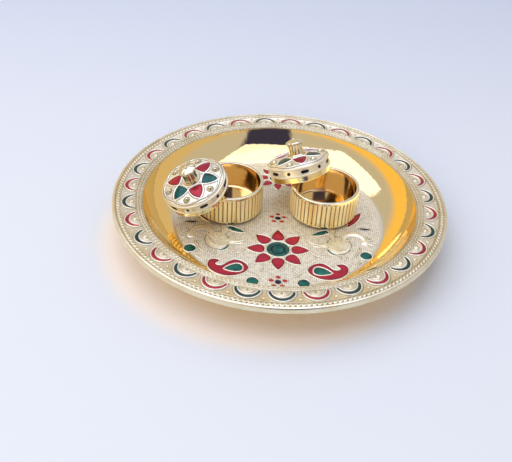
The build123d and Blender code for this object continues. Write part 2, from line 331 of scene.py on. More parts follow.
def revolved(radius: Array, height: Array, segments: int) -> Array:
    """Returns a grid of points about the Z axis: a row for each radius and height, and even steps of angle."""
    angle = TURN * spaced(segments)
    return np.stack([radius * np.cos(angle), radius * np.sin(angle), height + 0 * angle], -1)


def lathe(profile: Array, segments: int) -> Shape:
    """Returns a closed section of (radius, height) points carried round the Z axis in even steps."""
    return Shape.grid(revolved(profile[:, :1], profile[:, 1:], segments), True, True)


def lobes(count: int, steps: int) -> Array:
    """Returns each step's place across its own lobe, from -1 to 1, in a circle of lobes."""
    return 2 * ((np.arange(count * steps) / steps) % 1) - 1


def half_round(width: float, height: float, sink: float, steps: int) -> Tuple[Array, Array]:
    """The section of a rounded ridge that reaches into its ground.

    At section angle a it lies width/2 times cos(a) aside. It rises above the ground by height times sin(a), and
    sinks below it by sink times sin(a) on the lower half.

    Args:
        width: The ridge's width.
        height: Its height over the ground.
        sink: How deep its underside reaches into the ground.
        steps: How many points the section has.

    Returns:
        How far each point lies aside, and how far it rises.
    """
    angle = TURN * spaced(steps)
    return width / 2 * np.cos(angle), np.where(np.sin(angle) > 0, height, sink) * np.sin(angle)


def ridge(outline: Array, width: float, base: float, height: float, sink: float = 0.3) -> Shape:
    """A rounded ridge along a closed outline: a half round carried along it.

    Args:
        outline: Plane points that the ridge's middle follows.
        width: The ridge's width.
        base: The height of the ground that it stands on.
        height: Its height over the ground.
        sink: How deep its underside reaches into the ground.

    Returns:
        The closed surface.
    """
    aside, rise = half_round(width, height, sink, 10)
    points = np.empty((len(outline), len(rise), 3))
    points[..., :2] = outline[:, None] + outward(outline)[:, None] * aside[:, None]
    points[..., 2] = base + rise
    return Shape.grid(points, True, True)


def vein(path: Array, width: float, base: float, height: float, sink: float = 0.3) -> Shape:
    """A rounded ridge along an open path, whose width and height taper to points at both ends.

    It is a half round times the square root of the sine of pi times the share of the way.

    Args:
        path: Plane points that the vein's middle follows.
        width: Its greatest width.
        base: The height of the ground.
        height: Its greatest height over the ground.
        sink: How deep its underside reaches into the ground.

    Returns:
        The closed surface.
    """
    taper = np.sqrt(np.sin(np.pi * np.linspace(0, 1, len(path))).clip(0))[:, None]
    across = right_of(np.gradient(path, axis=0)) * taper
    aside, rise = half_round(width, height, sink, 8)
    points = np.empty((len(path), len(rise), 3))
    points[..., :2] = path[:, None] + across[:, None] * aside[:, None]
    points[..., 2] = base + taper * rise
    return Shape.grid(points, False, True)


def pillow(outline: Array, bottom: float, top: float, dome: float) -> Shape:
    """A cell of an outline with a wall up to its top and a dome over it.

    The point at share s of the way from the outline's middle to its edge stands at top plus dome times 1 - s^2.

    Args:
        outline: Closed plane points, all in sight of their middle.
        bottom: The height of the flat underside.
        top: The height of the edge.
        dome: How far the middle stands above the edge.

    Returns:
        The closed surface.
    """
    rings = np.array([1, 0.94, 0.85, 0.7, 0.5, 0.25, 0])
    share = np.concatenate([[0, 1], rings])[:, None]
    height = np.concatenate([[bottom, bottom], top + dome * (1 - rings ** 2)])
    middle = outline.mean(0)
    points = np.empty((len(share), len(outline), 3))
    points[..., :2] = middle + share[..., None] * (outline - middle)
    points[..., 2] = height[:, None]
    return Shape.grid(points, False, True)


def moon(outer: Array, inner: Array, bottom: float, top: float, dome: float) -> Shape:
    """A band between two rails of equally many points, flat below and arched across above.

    At share s across the band it stands at top plus dome times 4s(1 - s). Both ends are drawn to a point.

    Args:
        outer, inner: The rails' plane points, which run the same way.
        bottom: The height of the underside.
        top: The height of both edges.
        dome: How far the middle stands above the edges.

    Returns:
        The closed surface.
    """
    arch = np.linspace(0, 1, 7)
    across = np.concatenate([[0], arch, [1]])[:, None]
    height = np.concatenate([[bottom], top + dome * 4 * arch * (1 - arch), [bottom]])
    points = np.empty((len(outer), len(across), 3))
    points[..., :2] = inner[:, None] * (1 - across) + outer[:, None] * across
    points[..., 2] = height
    return Shape.capped(points)


def rope(radius: float, base: float, width: float, height: float, twists: int) -> Shape:
    """A twisted cord laid in a circle, half sunk in its ground.

    Its section is a flat ellipse at angle b, swollen by a share of cos(2b - twists times the angle round the
    circle), so that two strands seem to wind round each other.

    Args:
        radius: The circle's radius.
        base: The height of the ground.
        width: The cord's width.
        height: Its height over the ground.
        twists: How many strands show round the whole circle.

    Returns:
        The closed surface.
    """
    swell, twist_steps, section_steps = 0.26, 7, 12
    around = TURN * spaced(twists * twist_steps)[:, None]
    section = TURN * spaced(section_steps)
    size = 1 + swell * np.cos(2 * section - twists * around)
    reach = radius + width / 2 * size * np.cos(section)
    rise = base + height * size * np.sin(section)
    return Shape.grid(np.stack([reach * np.cos(around), reach * np.sin(around), rise], -1), True, True)


def shell(place: Array, angle: float, reach: float, base: float, height: float) -> Shape:
    """A fluted half shell that opens outwards, from its hinge at a place.

    Over share s of the reach and share q of its spread it stands at height times the root of sin(pi s), times
    1 less a ripple of seven waves of cos over q, times a power of sin(pi q) that tapers it at the sides.

    Args:
        place: The hinge, a plane point.
        angle: The direction that the shell opens in.
        reach: Its radius.
        base: The height of the ground.
        height: Its height over the ground.

    Returns:
        The closed surface, with a flat underside.
    """
    flutes, half_spread, ripple, side_taper = 7, 82.0, 0.3, 0.4
    share = np.linspace(0, 1, 9)[:, None]
    across = np.linspace(0, 1, 29)
    direction = np.radians(angle + half_spread * (2 * across - 1))
    ribs = 1 - ripple + ripple * np.cos(TURN * flutes * (across - 0.5))
    rise = base + height * np.sqrt(np.sin(np.pi * share).clip(0)) * ribs * np.sin(np.pi * across) ** side_taper
    plane = place + reach * share[..., None] * np.stack([np.cos(direction), np.sin(direction)], -1)
    top = np.concatenate([plane, rise[..., None]], -1)
    underside = np.concatenate([plane, np.full_like(rise, base - height)[..., None]], -1)
    return Shape.grid(np.concatenate([top, underside[::-1]]), True, False)


# Shader arithmetic

Socket = Union[int, str]
Value = Union["Wire", float, Sequence[float]]


class Wire:
    """A node's output in arithmetic: each operator adds one Math node and gives its output."""

    def __init__(self, sheet: "Sheet", socket: bpy.types.NodeSocket) -> None:
        """Keeps the sheet of nodes and the socket."""
        self.sheet = sheet
        self.socket = socket

    def __add__(self, other: Value) -> "Wire":
        """Returns the sum."""
        return self.sheet.maths("ADD", self, other)

    def __sub__(self, other: Value) -> "Wire":
        """Returns the difference."""
        return self.sheet.maths("SUBTRACT", self, other)

    def __rsub__(self, other: Value) -> "Wire":
        """Returns the difference from a number."""
        return self.sheet.maths("SUBTRACT", other, self)

    def __mul__(self, other: Value) -> "Wire":
        """Returns the product."""
        return self.sheet.maths("MULTIPLY", self, other)

    __radd__ = __add__
    __rmul__ = __mul__


class Sheet:
    """The nodes of one material or world."""

    def __init__(self, owner: Union[bpy.types.Material, bpy.types.World]) -> None:
        """Starts the owner's nodes afresh."""
        owner.use_nodes = True
        self.nodes = owner.node_tree.nodes
        self.links = owner.node_tree.links
        self.nodes.clear()

    def feed(self, socket: bpy.types.NodeSocket, value: Value) -> None:
        """Links a wire to a socket, or sets the socket itself.

        Args:
            socket: A node's input.
            value: A wire, number, vector or colour.
        """
        if isinstance(value, Wire):
            self.links.new(value.socket, socket)
        elif socket.type == "RGBA":
            socket.default_value = (*value, 1.0)
        else:
            socket.default_value = value

    def add(
            self, kind: str, settings: Dict[str, object], inputs: Dict[Socket, Value],
            output: Socket = 0) -> Wire:
        """Adds a node.

        Args:
            kind: The node's type.
            settings: Its own settings by name, which are set first.
            inputs: Values or wires by socket name or number.
            output: Which output to give.

        Returns:
            That output.
        """
        node = self.nodes.new(kind)
        for name, setting in settings.items():
            setattr(node, name, setting)
        for name, value in inputs.items():
            self.feed(node.inputs[name], value)
        return Wire(self, node.outputs[output] if node.outputs else None)

    def maths(self, operation: str, *values: Value) -> Wire:
        """Returns the result of a Math node's operation on values."""
        return self.add("ShaderNodeMath", {"operation": operation}, dict(enumerate(values)))

    def vector(self, operation: str, *values: Value, output: Socket = 0) -> Wire:
        """Returns the result of a Vector Math node's operation on vectors."""
        return self.add("ShaderNodeVectorMath", {"operation": operation}, dict(enumerate(values)), output)

    def mix(self, share: Value, first: Value, second: Value) -> Wire:
        """Returns a colour part of the way from the first to the second."""
        return self.add("ShaderNodeMix", {"data_type": "RGBA"}, {0: share, 6: first, 7: second}, 2)

    def noise(self, vector: Value, scale: float, detail: float = 2.0) -> Wire:
        """Returns smooth noise between 0 and 1 over a vector in metres."""
        return self.add("ShaderNodeTexNoise", {}, {"Vector": vector, "Scale": scale, "Detail": detail}, "Fac")

    def ramp(self, value: Value, low: float, high: float) -> Wire:
        """Returns 0 below low, 1 above high, and a smooth rise between."""
        inputs = {"Value": value, "From Min": low, "From Max": high}
        return self.add("ShaderNodeMapRange", {"interpolation_type": "SMOOTHSTEP"}, inputs)

    def patches(self, vector: Value, scale: float, limits: Point, detail: float = 3.0) -> Wire:
        """Returns soft patches: 0 where noise is below the first limit and 1 where it is above the second."""
        return self.ramp(self.noise(vector, scale, detail), *limits)

    def place(self) -> Wire:
        """Returns the object's coordinates in metres, which are those of the part."""
        return self.add("ShaderNodeTexCoord", {}, {}, "Object")

    def axes(self, vector: Wire) -> List[Wire]:
        """Returns a vector's X, Y and Z."""
        return [self.add("ShaderNodeSeparateXYZ", {}, {"Vector": vector}, axis) for axis in "XYZ"]

    def radius(self, place: Wire) -> Wire:
        """Returns the distance of a place from the Z axis."""
        return self.vector("LENGTH", self.vector("MULTIPLY", place, (1, 1, 0)), output="Value")

    def bump(self, height: Wire, distance: float) -> Wire:
        """Returns a normal tilted by a height of up to the distance in metres."""
        return self.add("ShaderNodeBump", {}, {"Height": height, "Distance": distance})


class Surface(Sheet):
    """The nodes of one material, with a Principled shader at their end."""

    def __init__(self, name: str) -> None:
        """Starts a material of that name."""
        self.material = bpy.data.materials.new(name)
        super().__init__(self.material)

    def finish(self, **values: Value) -> bpy.types.Material:
        """Ends the material with its shader.

        Args:
            **values: Values or wires by the shader's socket names, with underscores for spaces.

        Returns:
            The material.
        """
        inputs = {name.replace("_", " "): value for name, value in values.items()}
        shader = self.add("ShaderNodeBsdfPrincipled", {}, inputs)
        self.add("ShaderNodeOutputMaterial", {}, {"Surface": shader})
        return self.material


# Finishes

@dataclass(frozen=True)
class Plating:
    """Bright gold plating: two tones in soft patches, a little haze, and a faint ripple under it.

    Noise scales are per metre.
    """

    name: str
    slot: str
    tone: Colour
    deep_tone: Colour
    roughness: float
    metallic: float = 1.0
    haze: float = 0.06
    patch_scale: float = 90.0
    patch_limits: Point = (0.35, 0.70)
    ripple_scale: float = 260.0
    ripple: float = 0.04

    def patches(self, sheet: Surface, place: Wire) -> Wire:
        """Returns how deep the tone is at a place, from 0 to 1."""
        return sheet.patches(place, self.patch_scale, self.patch_limits)

    def rippled(self, sheet: Surface, place: Wire) -> Wire:
        """Returns the normal of the rippled ground at a place."""
        return sheet.bump(sheet.noise(place, self.ripple_scale), self.ripple * MM)

    @cached_property
    def material(self) -> bpy.types.Material:
        """The plating's material."""
        sheet = Surface(self.name)
        place = sheet.place()
        patches = self.patches(sheet, place)
        return sheet.finish(
            Base_Color=sheet.mix(patches, self.tone, self.deep_tone),
            Metallic=self.metallic,
            Roughness=self.roughness + self.haze * patches,
            Normal=self.rippled(sheet, place))


@dataclass(frozen=True)
class RuledPlating(Plating):
    """The floor's plating: pale and soft, with painted shade that deepens it along the grooves between its rules.
    """

    pitch: float = 1.2
    groove_share: float = 0.42
    scratch_scale: float = 520.0
    scratch_limits: Point = (0.40, 0.66)
    scratch_share: float = 0.40

    @cached_property
    def material(self) -> bpy.types.Material:
        """The floor's material, whose grooves lie every pitch along X."""
        sheet = Surface(self.name)
        place = sheet.place()
        across, _, _ = sheet.axes(place)
        # Painted shade: the tone deepens along the grooves between the rules, where their shade falls.
        groove = sheet.maths("COSINE", across * (TURN / (self.pitch * MM))) * 0.5 + 0.5
        patches = self.patches(sheet, place)
        scratches = sheet.patches(place, self.scratch_scale, self.scratch_limits)
        patch_share = 1 - self.groove_share - self.scratch_share
        # The dark share mixes that painted groove shade with random scratches and patches.
        dark = groove * self.groove_share + scratches * self.scratch_share + patches * patch_share
        return sheet.finish(
            Base_Color=sheet.mix(dark, self.tone, self.deep_tone),
            Metallic=self.metallic,
            Roughness=self.roughness + self.haze * patches,
            Normal=self.rippled(sheet, place))


@dataclass(frozen=True)
class ReededPlating(Plating):
    """A bowl's plating: streaked and bright on its reeds, dull and deep with painted shade in the grooves between
    them, and a deeper inner tone that paints its reflections.
    """

    middle: Point = (0.0, 0.0)
    reeds: int = 48
    reed_radius: float = 20.0
    reed_blend: float = 0.4
    heights: Point = (0.0, 1.0)
    blend: float = 0.5
    # Painted shade: the dark tone of the grooves between the reeds.
    groove_shade_tone: Colour = (0.33, 0.21, 0.055)
    groove_share: float = 0.33
    groove_roughness: float = 0.2
    # Painted reflection: a deeper tone inside the bowl for the darker reflections there.
    inner_reflection_tone: Colour = (0.98, 0.76, 0.42)
    inner_radius: float = 19.0
    streak_scale: float = 420.0
    streak_stretch: float = 0.06
    streak_limits: Point = (0.35, 0.65)
    reed_roughness: float = 0.17
    reed_sheen: float = 0.60

    @cached_property
    def material(self) -> bpy.types.Material:
        """The bowl's material.

        Its grooves are even steps round its axis, outside a radius and between two heights.
        """
        sheet = Surface(self.name)
        place = sheet.place()
        offset = sheet.vector("SUBTRACT", place, tuple(value * MM for value in (*self.middle, 0.0)))
        radius = sheet.radius(offset)
        across, ahead, up = sheet.axes(offset)
        core, inner, blend = self.reed_radius * MM, self.inner_radius * MM, self.blend * MM
        low, high = [height * MM for height in self.heights]
        outside = sheet.ramp(radius, core - self.reed_blend * MM, core)
        outside = outside * sheet.ramp(up, low, low + blend) * (1 - sheet.ramp(up, high - blend, high))
        wave = sheet.maths("COSINE", sheet.maths("ARCTAN2", ahead, across) * self.reeds)
        # Painted shade: the grooves between the reeds take the dark groove tone.
        groove = outside * sheet.ramp(wave, np.cos(np.pi * self.groove_share), 1.0)
        upright = sheet.vector("MULTIPLY", offset, (1, 1, self.streak_stretch))
        streaks = sheet.patches(upright, self.streak_scale, self.streak_limits)
        bright = sheet.mix(streaks, self.tone, self.deep_tone)
        # Painted reflection: inside the inner radius the bowl takes its deeper inner tone.
        bright = sheet.mix(sheet.ramp(radius, inner, inner + blend), self.inner_reflection_tone, bright)
        roughness = self.roughness + (self.reed_roughness - self.roughness) * outside
        return sheet.finish(
            Base_Color=sheet.mix(groove, bright, self.groove_shade_tone),
            Metallic=self.metallic - self.reed_sheen * outside,
            Roughness=roughness + self.groove_roughness * groove,
            Normal=self.rippled(sheet, place))


@dataclass(frozen=True)
class DishPlating(Plating):
    """The dish's plating: pale and satin on its embossed bands, deep and mirror-bright on the well's wall."""

    wall_tone: Colour = (1.0, 0.75, 0.32)
    wall_roughness: float = 0.05
    wall_radii: Point = (65.0, 82.0)
    floor_blend: float = 1.2
    brim_blend: float = 0.3
    grain_scale: float = 1400.0
    grain: float = 0.03

    @cached_property
    def material(self) -> bpy.types.Material:
        """The dish's material, whose wall lies between two radii."""
        sheet = Surface(self.name)
        place = sheet.place()
        radius = sheet.radius(place)
        inner, outer = [value * MM for value in self.wall_radii]
        blend = self.floor_blend * MM
        wall = sheet.ramp(radius, inner - blend, inner + blend)
        wall = wall * (1 - sheet.ramp(radius, outer - self.brim_blend * MM, outer))
        patches = self.patches(sheet, place)
        pale = sheet.mix(patches, self.tone, self.deep_tone)
        grain = sheet.noise(place, self.grain_scale) * self.grain * (1 - wall)
        waves = sheet.noise(place, self.ripple_scale) * self.ripple
        return sheet.finish(
            Base_Color=sheet.mix(wall, pale, self.wall_tone),
            Metallic=self.metallic,
            Roughness=(self.roughness + self.haze * patches) * (1 - wall) + self.wall_roughness * wall,
            Normal=sheet.bump(grain + waves, MM))


@dataclass(frozen=True)
class Enamel:
    """Clear coloured lacquer over bright plating: thin where it is light, pooled where it is dark."""

    name: str
    slot: str
    thin: Colour
    pooled: Colour
    pool_scale: float = 230.0
    pool_limits: Point = (0.30, 0.72)
    glow: float = 0.35
    pooled_glow_loss: float = 0.2
    roughness: float = 0.16
    speck_scale: float = 1150.0
    speck_limits: Point = (0.55, 0.75)
    speck_roughness: float = 0.12
    shine: float = 0.2
    coat: float = 0.25
    coat_roughness: float = 0.04
    ripple_scale: float = 460.0
    ripple: float = 0.06

    @cached_property
    def material(self) -> bpy.types.Material:
        """The lacquer's material."""
        sheet = Surface(self.name)
        place = sheet.place()
        pools = sheet.patches(place, self.pool_scale, self.pool_limits)
        specks = sheet.patches(place, self.speck_scale, self.speck_limits, detail=2.0)
        return sheet.finish(
            Base_Color=sheet.mix(pools, self.thin, self.pooled),
            Metallic=self.glow - self.pooled_glow_loss * pools,
            Roughness=self.roughness + self.speck_roughness * specks,
            Specular_IOR_Level=self.shine,
            Coat_Weight=self.coat,
            Coat_Roughness=self.coat_roughness,
            Normal=sheet.bump(sheet.noise(place, self.ripple_scale), self.ripple * MM))


def by_slot(*enamels: Enamel) -> Dict[str, Enamel]:
    """Returns enamels by the slot that they dress."""
    return {enamel.slot: enamel for enamel in enamels}


DISH_GOLD = DishPlating(
    "dish_gold", "plate_gold", tone=(0.90, 0.82, 0.59), deep_tone=(0.82, 0.72, 0.48), roughness=0.30)
FLOOR_GOLD = RuledPlating(
    "floor_gold", "plate_gold", tone=(0.90, 0.83, 0.63), deep_tone=(0.48, 0.41, 0.27),
    roughness=0.36, metallic=0.34)
MOTIF_GOLD = Plating(
    "motif_gold", "plate_gold", tone=(0.92, 0.85, 0.63), deep_tone=(0.78, 0.70, 0.47),
    roughness=0.28, metallic=0.55)
RELIEF_GOLD = Plating(
    "relief_gold", "plate_gold", tone=(0.72, 0.64, 0.43), deep_tone=(0.62, 0.53, 0.32), roughness=0.34)
# Gold plating of the floor's and brim's wires, made paler as a painted highlight on them.
WIRE_HIGHLIGHT_GOLD = Plating(
    "wire_painted_highlight_gold", "plate_gold", tone=(0.87, 0.81, 0.64), deep_tone=(0.81, 0.73, 0.54),
    roughness=0.20, metallic=0.55)
# Painted shade: dark gold for the low lines beside wires and relief, where their shadow falls.
SHADE_LINE_GOLD = Plating(
    "painted_shade_gold", "plate_gold", tone=(0.34, 0.29, 0.17), deep_tone=(0.24, 0.20, 0.11),
    roughness=0.45, metallic=0.6)
BOWL_GOLD = Plating(
    "bowl_gold", "bowl_gold", tone=(1.0, 0.88, 0.52), deep_tone=(0.94, 0.68, 0.26), roughness=0.10)
# Painted highlight: the pale band laid over each bowl's rim.
BOWL_RIM_HIGHLIGHT_GOLD = Plating(
    "bowl_rim_painted_highlight_gold", "bowl_gold", tone=(0.95, 0.87, 0.63), deep_tone=(0.90, 0.79, 0.50), roughness=0.14)
LID_GOLD = Plating(
    "lid_gold", "lid_gold", tone=(0.86, 0.80, 0.62), deep_tone=(0.79, 0.71, 0.51),
    roughness=0.18, metallic=0.50)
# Gold plating of the lids' wires, made near-white as a painted highlight on them.
LID_WIRE_HIGHLIGHT_GOLD = Plating(
    "lid_wire_painted_highlight_gold", "lid_gold", tone=(0.96, 0.93, 0.83), deep_tone=(0.91, 0.86, 0.71),
    roughness=0.14, metallic=0.7)
LID_BEAD_GOLD = Plating(
    "lid_bead_gold", "lid_gold", tone=(0.80, 0.74, 0.50), deep_tone=(0.70, 0.62, 0.38), roughness=0.12)
# Painted shade: dark gold for the low lines beside the lids' wires and round their studs.
LID_SHADE_LINE_GOLD = Plating(
    "lid_painted_shade_gold", "lid_gold", tone=(0.36, 0.32, 0.22), deep_tone=(0.26, 0.23, 0.15),
    roughness=0.40, metallic=0.6)
KNOB_GOLD = Plating(
    "knob_gold", "knob_gold", tone=(0.80, 0.72, 0.51), deep_tone=(0.70, 0.60, 0.38), roughness=0.13)
ENAMELS = by_slot(
    Enamel("red_enamel", "red_enamel", thin=(0.56, 0.024, 0.044), pooled=(0.35, 0.013, 0.027)),
    Enamel("green_enamel", "green_enamel", thin=(0.013, 0.18, 0.12), pooled=(0.003, 0.048, 0.044)),
    Enamel("dark_enamel", "dark_enamel", thin=(0.020, 0.026, 0.060), pooled=(0.004, 0.006, 0.014)))
BRIM_ENAMELS = by_slot(
    Enamel("brim_red_enamel", "red_enamel", thin=(0.47, 0.024, 0.044), pooled=(0.24, 0.013, 0.026)),
    Enamel("brim_green_enamel", "green_enamel", thin=(0.018, 0.078, 0.067), pooled=(0.006, 0.025, 0.025)))
LID_ENAMELS = by_slot(
    Enamel("lid_red_enamel", "red_enamel", thin=(0.45, 0.020, 0.036), pooled=(0.28, 0.011, 0.022)),
    Enamel("lid_green_enamel", "green_enamel", thin=(0.004, 0.105, 0.078), pooled=(0.001, 0.030, 0.030)))
EDGE_ENAMELS = by_slot(
    Enamel("red_enamel_edge", "red_enamel", thin=(0.20, 0.010, 0.020), pooled=(0.12, 0.006, 0.012)),
    Enamel("green_enamel_edge", "green_enamel", thin=(0.003, 0.045, 0.040), pooled=(0.001, 0.020, 0.020)))
SLOTS = {part["node"]: part["material_slot"] for part in frame["record"]["subparts"]}


def make_piece(
        name: str, shapes: Sequence[Shape], finish: Union[Plating, Enamel], body: str,
        replaced: Sequence[str] = ()) -> None:
    """Makes one piece of the object: welded, with its faces outwards and its soft edges smooth.

    Args:
        name: The piece's name.
        shapes: Its surfaces.
        finish: Its finish.
        body: The body that it rides on.
        replaced: The nodes that it stands for.
    """
    shape = Shape.joined(shapes)
    mesh = bpy.data.meshes.new(name)
    mesh.from_pydata((shape.points * MM).tolist(), [], shape.faces.tolist())
    work = bmesh.new()
    work.from_mesh(mesh)
    bmesh.ops.remove_doubles(work, verts=work.verts, dist=WELD_MM * MM)
    bmesh.ops.recalc_face_normals(work, faces=work.faces)
    work.to_mesh(mesh)
    work.free()
    mesh.polygons.foreach_set("use_smooth", np.ones(len(mesh.polygons), bool))
    mesh.set_sharp_from_angle(angle=np.radians(SHARP_ANGLE))
    mesh.materials.append(finish.material)
    piece = bpy.data.objects.new(name, mesh)
    bpy.context.scene.collection.objects.link(piece)
    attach(piece, body)
    if replaced:
        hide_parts(*replaced)
    LOG.info("%s: %d faces on %s", name, len(mesh.polygons), body)


def dress_node(node: str) -> None:
    """Gives a node that stays its enamel.

    Args:
        node: The node's name.
    """
    thing = frame["nodes"][node]
    material = ENAMELS[SLOTS[node]].material
    for slot in thing.material_slots:
        slot.material = material
    if not thing.material_slots:
        thing.data.materials.append(material)
    LOG.info("%s: dressed", node)


# The plate

@dataclass(frozen=True)
class Plate:
    """The dish: a ruled floor, a polished wall, a brim of bands and cords, a lip and a foot ring.

    The border is the slope from the well up to the scalloped band, with cords and rings at shares of its width.
    """

    floor_radius: float = 65.0
    floor_top: float = 3.6
    foot_radius: float = 60.0
    foot_width: float = 3.0
    foot_height: float = 1.2
    foot_corner: float = 0.4
    well_radius: float = 82.0
    well_top: float = 20.4
    well_curve_radius: float = 34.0
    wall: float = 1.8
    brim_top: float = 21.6
    edge_width: float = 1.6
    edge_top: float = 21.9
    edge_round: float = 1.2
    edge_bevel: float = 0.3
    radius: float = 100.0
    lip_drop: float = 3.6
    ground_drop: float = 0.25
    segments: int = 360
    rule_pitch: float = FLOOR_GOLD.pitch
    rule_height: float = 0.2
    rule_margin: float = 2.0
    rule_steps: int = 61
    border_width: float = 4.5
    cord_shares: Point = (0.36, 0.72)
    cord_twists: Tuple[int, int] = (206, 214)
    cord_width: float = 1.35
    cord_height: float = 0.42
    border_ring_shares: Tuple[float, ...] = (0.09, 0.54, 0.93)
    border_ring_width: float = 0.8
    border_ring_height: float = 0.4
    rope_radius: float = 96.7
    rope_width: float = 2.4
    rope_height: float = 0.62
    rope_twists: int = 225
    rope_ring_reach: float = 1.6
    rope_ring_width: float = 0.7
    rope_ring_height: float = 0.42
    ring_segments: int = 288

    @property
    def floor_ground(self) -> float:
        """The floor's ground, a little below the enamel's top."""
        return self.floor_top - self.ground_drop

    @property
    def brim_ground(self) -> float:
        """The scalloped band's ground, a little below the enamel's top."""
        return self.brim_top - self.ground_drop

    def border_place(self, share: float) -> Point:
        """Returns the radius and the height at a share of the border's slope."""
        height = self.well_top + share * (self.brim_ground - self.well_top)
        return self.well_radius + share * self.border_width, height

    def well_arcs(self) -> Tuple[Array, Array]:
        """The wall's inner and outer arcs in the section, about one centre.

        Returns:
            The inner arc from the floor up, and the outer arc from the brim's underside down.
        """
        low = np.array([self.floor_radius, self.floor_top])
        high = np.array([self.well_radius, self.well_top])
        chord = high - low
        inward = np.array([-chord[1], chord[0]]) / np.hypot(*chord)
        centre = (low + high) / 2 + inward * np.sqrt(self.well_curve_radius ** 2 - (chord ** 2).sum() / 4)
        outer = self.well_curve_radius + self.wall
        inner_arc = arc_through(low, centre - inward * self.well_curve_radius, high, 48)
        start = centre + (low - centre) * outer / self.well_curve_radius
        end_height = self.brim_top - self.wall
        end = np.array([centre[0] + np.sqrt(outer ** 2 - (end_height - centre[1]) ** 2), end_height])
        return inner_arc, arc_through(end, centre - inward * outer, start, 24)

    def profile(self) -> Array:
        """The closed section from the middle of the floor out over the brim and back below.

        Returns:
            Its (radius, height) points.
        """
        inner_arc, outer_arc = self.well_arcs()
        floor, brim, bevel = self.floor_ground, self.brim_ground, self.edge_bevel
        edge_inner, edge_top, turn = self.radius - self.edge_width, self.edge_top, self.edge_round
        lip_inner, lip_bottom = self.radius - self.wall, self.edge_top - self.lip_drop
        foot_outer, foot_inner = self.foot_radius, self.foot_radius - self.foot_width
        foot_top, foot_corner = self.foot_height, self.foot_corner
        side = self.radius
        edge = rounded((side - turn, edge_top), (side, edge_top), (side, edge_top - turn), 10)
        return np.concatenate([
            [(0, floor), (self.floor_radius / 2, floor), (self.floor_radius - self.rule_margin, floor)],
            inner_arc,
            [(self.well_radius + self.border_width, brim), (edge_inner - bevel, brim)],
            [(edge_inner, edge_top - bevel), (edge_inner + bevel, edge_top)],
            edge,
            [(side, lip_bottom + bevel), (side - bevel, lip_bottom), (lip_inner + bevel, lip_bottom)],
            [(lip_inner, lip_bottom + bevel), (lip_inner, self.brim_top - self.wall)],
            outer_arc,
            [(foot_outer, foot_top), (foot_outer, foot_corner), (foot_outer - foot_corner, 0)],
            [(foot_inner + foot_corner, 0), (foot_inner, foot_corner), (foot_inner, foot_top), (0, foot_top)]])

    def rules(self) -> Shape:
        """The floor's fine parallel rules: a sheet over the disc whose columns go up and down in turn.

        At column x and share v from -1 to 1 the point is x, v times the half chord there, and a height that is
        higher on every second column. A flat underside closes it.

        Returns:
            The closed surface.
        """
        radius = self.floor_radius - self.rule_margin
        half = self.rule_pitch / 2
        column = np.arange(1 - int(radius / half), int(radius / half)) * half
        share = np.linspace(-1, 1, self.rule_steps)
        ahead = np.sqrt(radius ** 2 - column ** 2)[:, None] * share
        across = column[:, None] + 0 * share
        height = self.floor_ground + self.rule_height * (np.arange(len(column)) % 2)[:, None]
        top = np.stack([across, ahead, height + 0 * across], -1)
        below = np.stack([across, ahead, np.full_like(across, self.floor_ground - self.rule_height)], -1)
        return Shape.capped(np.concatenate([top, below[:, ::-1]], 1))

    def ropes(self) -> List[Shape]:
        """The twisted cords: a thick one near the edge and two on the border's slope.

        Returns:
            Their surfaces.
        """
        cords = [rope(self.rope_radius, self.brim_ground, self.rope_width, self.rope_height, self.rope_twists)]
        for share, twists in zip(self.cord_shares, self.cord_twists):
            cords.append(rope(*self.border_place(share), self.cord_width, self.cord_height, twists))
        return cords

    def rings(self) -> List[Shape]:
        """The smooth ridges beside the cords, on the border's slope and on both sides of the thick cord.

        Returns:
            Their surfaces.
        """
        rings = []
        for radius, base in map(self.border_place, self.border_ring_shares):
            outline = circle(radius, self.ring_segments)
            rings.append(ridge(outline, self.border_ring_width, base, self.border_ring_height))
        for reach in (-self.rope_ring_reach, self.rope_ring_reach):
            outline = circle(self.rope_radius + reach, self.ring_segments)
            rings.append(ridge(outline, self.rope_ring_width, self.brim_ground, self.rope_ring_height))
        return rings

    def build(self) -> None:
        """Makes the dish, its rules, cords and rings."""
        make_piece("dish", [lathe(self.profile(), self.segments)], DISH_GOLD, "plate", ["thali_plate"])
        make_piece("floor_rules", [self.rules()], FLOOR_GOLD, "plate")
        make_piece("brim_ropes", self.ropes(), RELIEF_GOLD, "plate")
        make_piece("brim_rings", self.rings(), RELIEF_GOLD, "plate")


# Enamel cells

@dataclass(frozen=True)
class Cells:
    """How an enamel cell is finished: a domed fill, its pooled edge, and a wire with a dark line of painted shade
    round it.
    """

    depth: float = 0.8
    dome: float = 0.22
    wire_width: float = 1.0
    small_wire_width: float = 0.6
    wire_height: float = 0.55
    # Painted shade: how far the dark line reaches out beside each wire, and how high it stands.
    shade_margin: float = 0.4
    shade_line_height: float = 0.09
    edge_width: float = 0.6
    edge_height: float = 0.12

    def fill(self, outline: Array, top: float) -> Shape:
        """Returns the domed fill of an outline."""
        return pillow(outline, top - self.depth, top - self.dome / 2, self.dome)

    def band(self, outer: Array, inner: Array, top: float) -> Shape:
        """Returns the domed fill between two rails."""
        return moon(outer, inner, top - self.depth, top - self.dome / 2, self.dome)

    def edge(self, outline: Array, top: float) -> Shape:
        """Returns the dark line inside an outline, where the enamel pools."""
        middle = widened(outline, -self.edge_width / 2)
        return ridge(middle, self.edge_width, top - self.dome / 2, self.edge_height)

    def wire(self, outline: Array, ground: float, small: bool = False) -> Shape:
        """Returns the raised wire round an outline, on its ground."""
        width = self.small_wire_width if small else self.wire_width
        return ridge(widened(outline, width / 2), width, ground, self.wire_height)

    def shade(self, outline: Array, ground: float, small: bool = False) -> Shape:
        """Returns the low dark line of painted shade on both sides of the wire round an outline."""
        width = self.small_wire_width if small else self.wire_width
        return ridge(widened(outline, width / 2), width + 2 * self.shade_margin, ground, self.shade_line_height)


